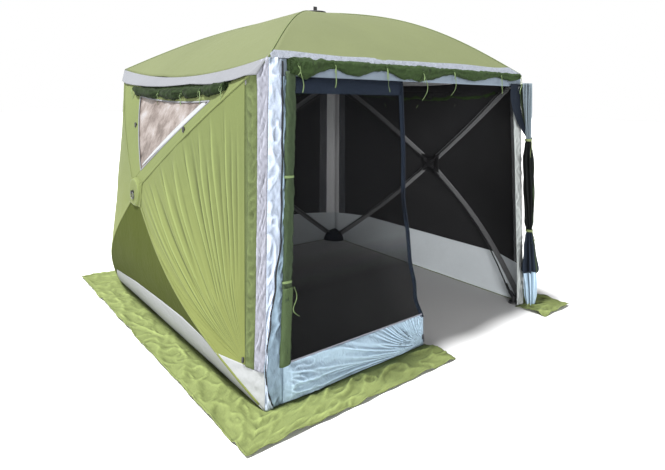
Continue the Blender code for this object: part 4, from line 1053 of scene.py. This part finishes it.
def make_fan_cover():
    lengths = [math.dist(a, b) for a, b in zip(FAN_OUTLINE, FAN_OUTLINE[1:])]
    ridge_from, ridge_to = (sum(lengths[:legs]) / sum(lengths) for legs in (2, 3))

    def fan(u, v):
        along, height = between(COVER_CORNER, along_line(FAN_OUTLINE, u), v)
        share = (u - ridge_from) / (ridge_to - ridge_from)
        fold = fan_fold(share, v) if share > -0.02 else fan_fold(-0.02 + (share + 0.02) * 0.6, v) * 0.6
        ends = min(1.0, 14.0 * (1.0 - u)) * min(1.0, 5.0 * u)
        return skin("left", along, height, fold * ends)

    outward = wall_normal("left")
    cover = cloth("fan_cover_left", [grid(fan, (440, 70))], "cover", outward=outward, lining="lining")
    sew(cover, "left", "side_b", "storm_cloth", (1.55, 1.13), "wall_hub_left", "wall_left_side_b")


def make_near_corner():
    """The green strip, the pale column and the pale foot of the wall at the left front corner."""
    under_fan = [(along - 0.032, height) for along, height in STRIP_LEFT]
    foot_top = [COVER_LOW_RIDGE, COVER_CORNER, STRIP_RIGHT[-1], CORNER_EDGE[-1]]
    foot_low = [COVER_LOW_RIDGE, (BASE_HALF - EDGE_GAP, HEM_RISE)]
    for name, slot, low, high, cells, look, lift, folds, flat, rests_on in (
        ("corner_strip_left", "storm_cloth", under_fan, STRIP_RIGHT, (170, 14), "strip_green", -0.004,
         strip_folds, (1.46, 0.09), "window_frame_left"),
        ("corner_column_left", "trim_cloth", STRIP_RIGHT, CORNER_EDGE, (200, 16), "grey", 0.0,
         column_folds, (1.48, 0.09), "foot_front_left"),
        ("wall_foot_left", "trim_cloth", foot_low, foot_top, (40, 12), "white", 0.0,
         foot_folds, (0.37, 0.25), "ground_skirt"),
    ):
        piece = wall_panel(name, "left", low, high, cells, look, lift, folds)
        sew(piece, "left", "side_b", slot, flat, rests_on)


def make_valance():
    """The pale strip that hangs under the roof's edge along the left wall."""
    piece = wall_panel(
        "eave_valance_left", "left", VALANCE_LOW, VALANCE_TOP, (120, 10), "valance", folds=valance_folds
    )
    cut_sheet(dress(piece, "trim_cloth"), (2.01, 0.12), "hung", "roof_cloth_left")


# Door wall
DOOR_TOP, SILL_TOP, JAMB = 1.590, 0.210, 0.105
DOOR_EDGE = (
    (0.0, 0.010), (0.198, 0.010), (0.315, -0.050), (0.430, -0.058), (0.561, -0.094),
    (0.75, -0.112), (0.937, -0.146), (1.20, -0.140), (1.59, -0.155),
)
PIPING = (
    (0.0, -1.104), (0.05, -1.121), (0.11, -1.136), (0.20, -1.138), (0.30, -1.124), (0.45, -1.092),
    (0.635, -1.050), (0.854, -1.004), (1.03, -0.988), (1.26, -0.969), (1.485, -0.953), (1.67, -0.941),
)
RIGHT_JAMB = ((0.0, 0.085), (0.30, 0.078), (1.10, 0.084), (1.30, 0.090), (1.60, JAMB))


def front_point(along, height, lift=0.0):
    return flat_place("front", (along, height)) + wall_normal("front") * lift


def front_panel(name, left, right, low, high, cells, look, folds, lift=0.0, **how):
    """A panel in the door wall's plane, between two edges given as functions of height."""

    def surface(u, v):
        height = mix(low, high, v)
        along = mix(left(height), right(height), u)
        return front_point(along, height, lift + folds(along, height, u, v))

    return cloth(name, [grid(surface, cells)], look, outward=wall_normal("front"), **how)


def left_corner(height):
    return EDGE_GAP - out_at(height)


def right_corner(height):
    return out_at(height) - EDGE_GAP


def inner_jamb(height):
    return JAMB - out_at(height)


def door_edge(height):
    """The mesh door's free edge, which hangs a little slack."""
    return read_off(DOOR_EDGE, height, ease=lambda share: share)


def piping(height):
    """Where the black piping runs down the left jamb."""
    return read_off(PIPING, height)


def column_edge(height):
    return piping(height) + 0.003


def right_jamb_edge(height):
    """The right jamb's inner edge: drawn back to a narrow strip below the upper tie."""
    return out_at(height) - read_off(RIGHT_JAMB, height)


def jamb_folds(seed):
    def folds(along, height, u, v):
        long = rough((u * 2.0 + height * 2.0, height * 6.0), seed)
        short = creased((u * 1.6 - height * 5.0, height * 14.0), seed + 4.0)
        fine = rough((u * 4.0, height * 30.0), seed + 7.0)
        return (0.010 * long + 0.013 * short + 0.0045 * fine) * hump(u) ** 0.5

    return folds


def header_folds(along, height, u, v):
    soft, fine = rough((along * 7.0, height * 4.0), 31.0), rough((along * 40.0, height * 9.0), 35.0)
    return (0.004 * soft + 0.002 * fine) * hump(v) ** 0.5


def door_mesh_folds(along, height, u, v):
    return 0.005 * rough((along * 2.0, height * 1.2), 41.0, 0.5) * hump(v) ** 0.4 * min(1.0, 4.0 * u)


def sill_folds(along, height, u, v):
    """Creases that fan out from the tie-down at the sill's free corner, over two or three soft billows."""
    away, rise = 0.02 - along, height - 0.015
    reach, turn = math.hypot(away, rise), math.atan2(rise, max(1e-4, away))
    rays = 0.024 * creased((turn * 17.0 / (0.35 + reach), reach * 1.4), 51.0) * min(1.0, reach * 4.0)
    billow = 0.013 * (1.0 + math.sin(9.0 * u + 4.0 * v)) * min(1.0, u / 0.2) * min(1.0, (1.0 - u) / 0.25)
    left = 0.018 * creased((u * 14.0 + v * 3.0, v * 5.0), 57.0) * eased((0.35 - u) / 0.3)
    fine = 0.004 * rough((along * 30.0, height * 38.0), 59.0)
    return (rays + billow + left + fine) * hump(v) ** 0.45 * min(1.0, hump(u) * 8.0)


def make_door():
    for name, node, left, right, top, look, seed, lift in (
        ("jamb_left_cloth", "jamb_left", piping, inner_jamb, DOOR_TOP, "jamb_blue", 21.0, 0.0),
        ("jamb_left_column", None, left_corner, column_edge, 1.667, "jamb_pale", 27.0, 0.0016),
        ("jamb_right_cloth", "jamb_right", right_jamb_edge, right_corner, DOOR_TOP, "jamb_white", 33.0, 0.0),
    ):
        piece = front_panel(name, left, right, HEM_RISE, top, (14, 170), look, jamb_folds(seed), lift)
        cut_sheet(dress(piece, "trim_cloth", node), (JAMB, top), "hung", "door_header_cloth")
    corners = left_corner, right_corner
    # The header's darker blue is painted shade from the rolled flap above it
    header = front_panel(
        "door_header_cloth", *corners, DOOR_TOP, EAVE_HEIGHT, (180, 8), "header_blue", header_folds
    )
    dress(header, "trim_cloth", "door_header")
    edges = inner_jamb, door_edge
    door = front_panel(
        "door_mesh_cloth", *edges, SILL_TOP, DOOR_TOP, (50, 90), "door_mesh", door_mesh_folds,
        thick=THIN_CLOTH,
    )
    cut_sheet(dress(door, "insect_mesh", "door_mesh"), (1.05, 1.40), "hung", "door_header_cloth")
    sill = front_panel("door_sill_cloth", *edges, HEM_RISE, SILL_TOP, (240, 44), "blue", sill_folds)
    cut_sheet(dress(sill, "trim_cloth", "door_sill"), (1.12, 0.25), "hung", "door_mesh_cloth")

    heights = [mix(0.19, 1.575, k / 40) for k in range(41)]
    for name, line, width, look, lift in (
        ("door_edge_tape", [(door_edge(z) - 0.016, z) for z in heights], lambda v: mix(0.020, 0.036, v),
         "navy_mesh", 0.003),
        ("door_edge_binding", [(door_edge(z) - 0.003, z) for z in heights], 0.008, "navy", 0.0045),
        ("door_top_tape", [(inner_jamb(1.555), 1.553), (door_edge(1.555), 1.553)], 0.075, "navy_mesh", 0.003),
        ("door_sill_tape", [(inner_jamb(0.21), 0.212), (door_edge(0.21), 0.212)], 0.010, "grey", 0.004),
        ("door_jamb_tape", [(inner_jamb(z) + 0.010, z) for z in (0.21, 0.8, 1.57)], 0.018, "navy", 0.003),
    ):

        def across(share, line=line):
            before, after = along_line(line, max(0, share - 0.01)), along_line(line, min(1, share + 0.01))
            return (front_point(*after) - front_point(*before)).cross(wall_normal("front")).normalized()

        path = [front_point(*along_line(line, k / 90), lift) for k in range(91)]
        rows = tape_rows(path, width, across)
        dress(cloth(name, [rows], look, outward=wall_normal("front"), thick=0.0014), "trim_cloth")


# Rolled flaps and their ties
TIE_WIDTH, STRING_WIDTH, ROLL_CORE = 0.012, 0.0048, 0.10
FRONT_ROLL_LOW = (
    (-0.93, 1.604), (-0.829, 1.588), (-0.665, 1.634), (-0.525, 1.606), (-0.315, 1.637), (-0.16, 1.602),
    (-0.06, 1.594), (0.05, 1.610), (0.236, 1.640), (0.438, 1.612), (0.71, 1.642), (0.848, 1.622),
    (0.95, 1.636),
)
FRONT_ROLL_TOP = 1.672
FRONT_REACH = (-0.915, 0.945)
FRONT_TIES = [
    (x - FRONT_REACH[0]) / (FRONT_REACH[1] - FRONT_REACH[0])
    for x in (-0.895, -0.664, -0.314, -0.07, 0.235, 0.71, 0.93)
]
EVEN_TIES = (0.01, 0.25, 0.5, 0.75, 0.99)
SIDE_REACH = (-0.78, 0.78)


def spiral_roll(name, place, turns, stations, look, seed, lump, start=None):
    """A flap rolled up: place(share) gives its centre, outward and downward vectors, each half size.
    The cloth comes down behind the roll, passes under it and winds inwards."""

    def surface(u, v):
        centre, out, down = place(v)
        turn = 2.0 * math.pi * turns * u
        size = 1.0 - (1.0 - ROLL_CORE) * u
        x, y = math.cos(turn) * 1.5, math.sin(turn) * 1.5 + u * 3.0
        crumple = rough((v * 24.0, x, y), seed) + 1.2 * creased((v * 30.0, x * 2.6, y * 2.6), seed) - 0.6
        wave = lump * (1.0 - 0.6 * u) * crumple
        return centre + (down * math.sin(turn) - out * math.cos(turn)) * (size + wave)

    rows = grid(surface, (12 * turns, stations))
    if start:
        for number, row in enumerate(rows):
            top = start(number / stations)
            rows[number] = [top, mix(top, row[0], 0.5), *row]
    return cloth(name, [rows], look, thick=0.0009)


def tie_rows(place, share, width, swell=1.06):
    """A band round a roll at one tie."""
    rows = []
    for step in range(4):
        centre, out, down = place(min(1.0, max(0.0, share + (step / 3 - 0.5) * width)))
        rows.append(ring(centre, -out * swell, down * swell, 24))
    return rows


def hanging_rows(start, out, sideways, length, width, seed):
    """A loose tape end that falls from a knot, turning a little."""
    path, cells = [], 10
    for step in range(cells + 1):
        share = step / cells
        sway = 0.5 * length * rough((share * 1.6, seed), seed)
        bulge = out * (0.012 * math.sin(share * 2.5))
        path.append(start + bulge - UP * (length * share) + sideways * (sway * share))

    def across(share):
        turn = 1.2 * rough((share * 2.0, seed, 3.0), seed)
        return sideways * math.cos(turn) + out * math.sin(turn)

    return tape_rows(path, width, across)


def make_ties(name, place, shares, side, length_of_roll, ends):
    """Bands and knots round a roll, and the thin strings that hang from them."""
    sideways, outwards = on_wall(side, 1.0, 0.0, 0.0), on_wall(side, 0.0, 1.0, 0.0)
    bands, strings = [], []
    for number, share in enumerate(shares):
        bands.append(tie_rows(place, share, TIE_WIDTH / length_of_roll))
        centre, out, down = place(share)
        knot = centre + out * 1.10 - down * 0.15
        for twin, part in ((-1, 0.45), (1, 1.0)):
            reach = ends * (1.0 + 0.45 * rough((number * 2.1, twin), 2.0, 0.7)) * part
            foot, seed = knot + sideways * (0.004 * twin), number * 1.3 + twin * 0.4
            strings.append(hanging_rows(foot, outwards, sideways, reach, STRING_WIDTH, seed))
        rows = []
        for j in range(7):
            wide, high = math.sin(math.pi * j / 6), math.cos(math.pi * j / 6)
            middle = knot + UP * (0.008 * high)
            rows.append(ring(middle, outwards * (0.006 * wide), sideways * (0.009 * wide), 8))
        bands.append(rows)
    for suffix, rows, look in (("", bands, "dark_green"), ("_strings", strings, "string")):
        dress(cloth(name + suffix, rows, look, thick=THIN_CLOTH), "storm_cloth")


def roll_outline(side, reach, radius, drop, ties, droop, hug):
    """place(share) for a roll under the eave, tied tight at the given shares."""
    lean = on_wall(side, 0.0, 1.0, 0.0)

    def place(share):
        along = mix(*reach, share)
        if side == "front":
            low = read_off(FRONT_ROLL_LOW, along)
            size = (FRONT_ROLL_TOP - low) / 2
            thick = max(0.019, size * 0.86) + 0.002 * rough((share * 17.0, 0.0), 3.0)
            middle = front_point(along, (FRONT_ROLL_TOP + low) / 2)
            return middle + lean * (thick * hug + 0.005), lean * thick, UP * -size
        nearest = min(abs(share - tie) * (reach[1] - reach[0]) for tie in ties)
        full = 1.0 - math.exp(-((nearest / 0.055) ** 2))
        size = radius * (0.62 + 0.36 * full + 0.16 * rough((share * 9.0, 0.0), radius * 100))
        sag = EAVE_SAG * hump(0.5 + along / (2 * EAVE_HALF))
        height = EAVE_HEIGHT - drop - droop * full
        back = skin(side, along, height)
        back.z = height - sag
        return back + lean * (size * 0.8 * hug + 0.004), lean * (size * 0.8), UP * -size

    return place


def make_rolls():
    # Name, wall, reach, radius, drop, ties, droop, hug, turns, stations, flat height, loose ends
    rolls = (
        ("storm_roll_front", "front", FRONT_REACH, 0.036, 0.042, FRONT_TIES, 0.0, 1.10, 13, 190, 1.45, 0.12),
        ("storm_roll_right", "right", SIDE_REACH, 0.034, 0.080, EVEN_TIES, 0.010, 1.42, 10, 90, 1.20, 0.10),
        ("storm_roll_back", "back", SIDE_REACH, 0.034, 0.080, EVEN_TIES, 0.010, 1.42, 10, 90, 1.20, 0.10),
        ("window_roll_left", "left", (-0.58, 0.74), 0.031, 0.092, (0.01, 0.36, 0.62, 0.80, 0.99), 0.006, 1.42,
         6, 110, 0.45, 0.085),
    )
    for name, side, reach, radius, drop, ties, droop, hug, turns, stations, tall, ends in rolls:
        place = roll_outline(side, reach, radius, drop, ties, droop, hug)

        def start(share, side=side, reach=reach, drop=drop, radius=radius):
            along = mix(*reach, share)
            if side == "front":
                return front_point(along, EAVE_HEIGHT - 0.004, 0.006)
            return skin(side, along, EAVE_HEIGHT - max(0.006, drop - radius - 0.02), 0.006)

        lump = 0.30 if side == "front" else 0.20
        piece = spiral_roll(f"{name}_cloth", place, turns, stations, "dark_green", radius * 70, lump, start)
        dress(piece, "storm_cloth", name)
        long = reach[1] - reach[0]
        make_ties(f"{name}_ties", place, ties, side, long, ends)
    make_jamb_fold()


JAMB_FOLD_LOW, JAMB_FOLD_HIGH, JAMB_FOLD_END = 0.214, 1.610, 0.605
JAMB_FOLD_TIES = (0.30, 0.66)


def jamb_fold_place(share):
    """Centre, outward and downward vectors of the folded flap beside the left jamb."""
    height, lean = mix(JAMB_FOLD_LOW, JAMB_FOLD_HIGH, share), wall_normal("front")
    nearest = min(abs(share - tie) * (JAMB_FOLD_HIGH - JAMB_FOLD_LOW) for tie in JAMB_FOLD_TIES)
    full = 1.0 - math.exp(-((nearest / 0.04) ** 2))
    half = 0.0285 * (0.86 + 0.12 * full + 0.08 * rough((share * 9.0, 0.0), 3.0))
    along = inner_jamb(height) + 0.004 + 0.003 * rough((height * 4.0, 0.0), 6.0)
    return front_point(along, height, half * 0.50 + 0.004), lean * (half * 0.50), X * half


def make_jamb_fold():
    """The door's flap folded into a flat band beside the left jamb, its free end doubled over it."""
    piece = spiral_roll("storm_roll_door_cloth", jamb_fold_place, 8, 110, "mid_green", 5.0, 0.20)
    dress(piece, "storm_cloth", "storm_roll_door")

    def doubled(u, v):
        height = mix(JAMB_FOLD_LOW - 0.002, JAMB_FOLD_END, v)
        along = inner_jamb(height) + 0.004 + mix(-0.030, 0.031, u) - 0.012 * (1.0 - v)
        lift = 0.0345 + 0.005 * rough((u * 2.0, height * 14.0), 8.0) - 0.012 * abs(2.0 * u - 1.0) ** 3
        return front_point(along, height, lift)

    piece = cloth("storm_fold_end", [grid(doubled, (10, 40))], "fold_end", outward=wall_normal("front"))
    cut_sheet(dress(piece, "storm_cloth"), (0.062, 0.40), "folded", "storm_roll_door_cloth")
    top = front_point(inner_jamb(0.6) + 0.034, JAMB_FOLD_END, 0.034)
    rows = [tie_rows(jamb_fold_place, share, TIE_WIDTH / 1.40, 1.08) for share in JAMB_FOLD_TIES]
    rows.append(hanging_rows(top, -Y, X, 0.16, STRING_WIDTH, 2.0))
    dress(cloth("storm_roll_door_ties", rows, "string", thick=THIN_CLOTH), "storm_cloth")


# The door's right half, gathered at the right corner and tied twice
UPPER_TIE, LOWER_TIE = 1.235, 0.590
BUNDLE_PLEATS = 8
BUNDLE_SIZES = (
    (0.012, 0.036), (0.10, 0.050), (0.27, 0.060), (0.30, 0.068), (0.45, 0.052), (0.55, 0.032), (0.59, 0.020),
    (0.66, 0.034), (0.90, 0.047), (1.10, 0.042), (1.20, 0.026), (1.235, 0.018), (1.30, 0.024), (1.45, 0.032),
    (1.62, 0.037),
)


def bundle_middle(height):
    foot = 0.010 * eased((0.30 - height) / 0.3)
    return on_wall("front", out_at(height) - 0.014 + foot, out_at(height) + 0.064, height)


def round_bundle(height, turn, reach):
    """The point this far from the bundle's middle; the bundle is a little flatter than round."""
    return bundle_middle(height) + Vector((math.cos(turn), -0.8 * math.sin(turn), 0.0)) * reach


def pleated(low, high, scale, seed, last=0.98):
    """Gathered cloth from one height to another, pleated all the way round."""

    def surface(u, v):
        height = mix(low, high, v)
        turn = 2.0 * math.pi * (last * u + 0.05 * math.sin(height * 5.0 + seed))
        fold = 0.5 - 0.5 * math.cos(2.0 * math.pi * BUNDLE_PLEATS * last * u)
        crumple = rough((math.cos(turn) * 1.4, math.sin(turn) * 1.4, height * 4.0), seed)
        depth = mix(0.35, 1.0, fold**0.8) * (1.0 + 0.34 * crumple)
        return round_bundle(height, turn, read_off(BUNDLE_SIZES, height) * scale * depth)

    return grid(surface, (int(BUNDLE_PLEATS * 11 * last), max(12, int((high - low) / 0.010))))


def make_bundle():
    for name, node, low, high, scale, seed, look, flat in (
        ("bundle_top_blue", None, UPPER_TIE, 1.612, 1.0, 1.0, "bundle_blue", (0.60, 0.44)),
        ("bundle_mesh", "door_bundle_right", 0.585, 1.240, 1.0, 2.0, "bundle_mesh", (0.80, 0.66)),
        ("bundle_flare", None, 0.275, 0.592, 1.06, 3.0, "navy", (0.86, 0.32)),
        ("bundle_foot_blue", None, 0.012, 0.285, 1.0, 4.0, "blue", (0.80, 0.28)),
    ):
        piece = cloth(name, [pleated(low, high, scale, seed)], look, thick=THIN_CLOTH)
        dress(piece, "insect_mesh" if node else "trim_cloth", node)
        cut_sheet(piece, flat, "gathered", "jamb_right_cloth")

    # The storm flap's green edge runs down with the gathered door, on its outer side
    def edging(u, v):
        height = mix(0.270, UPPER_TIE, v)
        turn = mix(0.45, 1.45, u) + 0.30 * rough((height * 6.0, 0.0), 8.0)
        depth = 0.86 + 0.20 * rough((u * 3.0, height * 11.0), 12.0)
        return round_bundle(height, turn, (read_off(BUNDLE_SIZES, height) + 0.004) * depth)

    edge = cloth("bundle_green_edge", [grid(edging, (10, 70))], "mid_green", thick=THIN_CLOTH)
    cut_sheet(dress(edge, "storm_cloth"), (0.08, 0.98), "gathered", "bundle_mesh")

    # Above the upper tie the door's navy border and the flap's green edge slant in from the header
    for name, look, top, foot, lift in (
        ("bundle_navy_border", "navy", (0.872, 0.985), (1.030, 1.064), 0.012),
        ("bundle_green_border", "mid_green", (0.980, 1.022), (1.056, 1.080), 0.016),
    ):

        def slanted(u, v, top=top, foot=foot, lift=lift):
            height = mix(UPPER_TIE, 1.605, v)
            share = 1.0 - (1.0 - v) ** 2.6
            wave = 0.006 * rough((u * 2.5, height * 8.0, lift * 100), 5.0)
            off = mix(0.060, lift, share) + wave + 0.004
            return front_point(mix(*between(foot, top, share), u), height, off)

        piece = cloth(name, [grid(slanted, (12, 50))], look, outward=wall_normal("front"))
        cut_sheet(dress(piece, "trim_cloth"), (0.10, 0.38), "hung", "door_header_cloth")

    rows = []
    for height, length in ((UPPER_TIE, 0.15), (LOWER_TIE, 0.09)):
        centre, size = bundle_middle(height), read_off(BUNDLE_SIZES, height) * 1.25
        rows.append([ring(centre + UP * z, X * size, Y * -size, 28) for z in (-0.008, 0.0, 0.008)])
        for twin in (-1, 1):
            knot = centre + Vector((0.010 + 0.010 * twin, -size, 0.0))
            rows.append(hanging_rows(knot, Vector((0.6, -0.8, 0.0)), X, length, 0.005, height + twin))
    dress(cloth("bundle_ties", rows, "green_tape", thick=TAPE), "trim_cloth")


# Skirt on the ground
SKIRT_WIDTH, SKIRT_ROWS, SKIRT_CELL = 0.240, 22, 0.016
SKIRT_START, SKIRT_END = 0.030, 1.040


def make_skirt():
    """The wide hem that lies round the tent, from the door's left part to its right corner."""
    inner, outer = BASE_HALF - 0.004, BASE_HALF + SKIRT_WIDTH
    turns = ((-1, -1), (-1, 1), (1, 1), (1, -1))
    corners = [
        ((SKIRT_START, -inner), (SKIRT_START, -outer)),
        *(((x * inner, y * inner), (x * outer, y * outer)) for x, y in turns),
        ((SKIRT_END, -inner), (SKIRT_END, -outer)),
    ]
    steps = [math.dist(a[1], b[1]) for a, b in zip(corners, corners[1:])]
    cells = [max(6, round(step / SKIRT_CELL)) for step in steps]

    def point(leg, share, across):
        near, far = (between(corners[leg][k], corners[leg + 1][k], share) for k in (0, 1))
        x, y = between(near, far, across)
        loose = max(0.0, min(1.0, (across - 0.06) / 0.2))
        ripple = 0.5 + 0.5 * math.sin(7.3 * x + 5.1 * y + 3.0 * across)
        wave = 0.008 * ripple * hump(min(1.0, across)) ** 0.6
        run = sum(steps[:leg]) + share * steps[leg]
        fold = 0.026 * max(0.0, creased((run * 4.2 + across * 0.9, across * 2.2 - run * 2.6), 3.0) - 0.35)
        fold += 0.016 * max(0.0, creased((run * 9.0 - across * 1.4, across * 3.4 + run * 4.0), 5.0) - 0.4)
        fold += 0.003 * (1 + rough((x, y), 8.0, 0.05))
        stray = 0.007 * rough((x, y), 21.0, 0.11) * across**2
        across_front = abs(y) > BASE_HALF
        return Vector((x + (0.0 if across_front else stray), y + (stray if across_front else 0.0),
                       0.0010 + (wave + fold) * loose))

    rows = []
    for step in range(SKIRT_ROWS + 1):
        across = step / SKIRT_ROWS
        row = [point(leg, cell / count, across) for leg, count in enumerate(cells) for cell in range(count)]
        rows.append([*row, point(len(cells) - 1, 1.0, across)])
    skirt = cloth("ground_skirt_cloth", [rows], "skirt", outward=UP, thick=TAPE, offset=1.0)
    dress(skirt, "skirt_cloth", "ground_skirt")
    length = sum(math.dist(a[0], b[0]) + math.dist(a[1], b[1]) for a, b in zip(corners, corners[1:])) / 2
    raised = [[corner + UP * 0.0022 for corner in row] for row in rows[-2:]]
    hem_rows = [[mix(near, hem, share) for share in (0.0, 0.5, 1.0)] for near, hem in zip(*raised)]
    dress(cloth("skirt_hem_tape", [hem_rows], "skirt", outward=UP, thick=THIN_CLOTH), "skirt_cloth")


# Small things on the left wall and the near corner
def make_corner_piping():
    """Black piping that runs down the left jamb and in to the foot."""
    heights = [mix(1.655, 0.02, k / 90) for k in range(91)]
    points = [front_point(column_edge(height), height, 0.009) for height in heights]
    dress(cord_piece("corner_zip_piping", points, 0.0038, "black"), "trim_cloth")


def make_toggles():
    """Small black toggles on the left wall."""
    normal, level = wall_normal("left"), on_wall("left", 1.0, 0.0, 0.0)
    upright = normal.cross(level)
    rows = []
    for along, height in ((-0.285, 1.320), (0.455, 1.327), (1.020, 0.236)):
        toggle, centre = [], skin("left", along, height, 0.007)
        for j in range(9):
            radius = 0.0065 * min(1.0, 3.0 * hump(j / 8))
            middle = centre + upright * (0.034 * (j / 8 - 0.5))
            toggle.append(ring(middle, level * radius, normal * radius, 10))
        rows.append(toggle)
    follow_hub(cloth("wall_toggles_left", rows, "plastic", thick=0.0), "left", "top")


def dress_frame():
    looks = {
        "pole_": "rod", "eave_joint": "plastic", "foot_": "plastic", "wall_hub": "plastic",
        "roof_hub": "plastic", "pull_ring": "steel", "door_zip_slider": "zip",
    }
    for name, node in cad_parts.items():
        for start, look in looks.items():
            if name.startswith(start):
                for slot in node.material_slots:
                    slot.material = FINISHES[look]


make_camera()
make_light()
make_floor()
dress_frame()
make_roof()
make_eave_band()
make_foot_pockets()
for mesh_side in ("back", "right"):
    make_mesh_wall(mesh_side)
    make_ridges(mesh_side, "black")
    make_hub_patches(mesh_side, "black")
make_window()
make_left_covers()
make_fan_cover()
make_near_corner()
make_ridges("left", "cover")
make_hub_patches("left", "cover")
make_hub_cover()
make_valance()
make_door()
make_rolls()
make_bundle()
make_skirt()
make_corner_piping()
make_toggles()
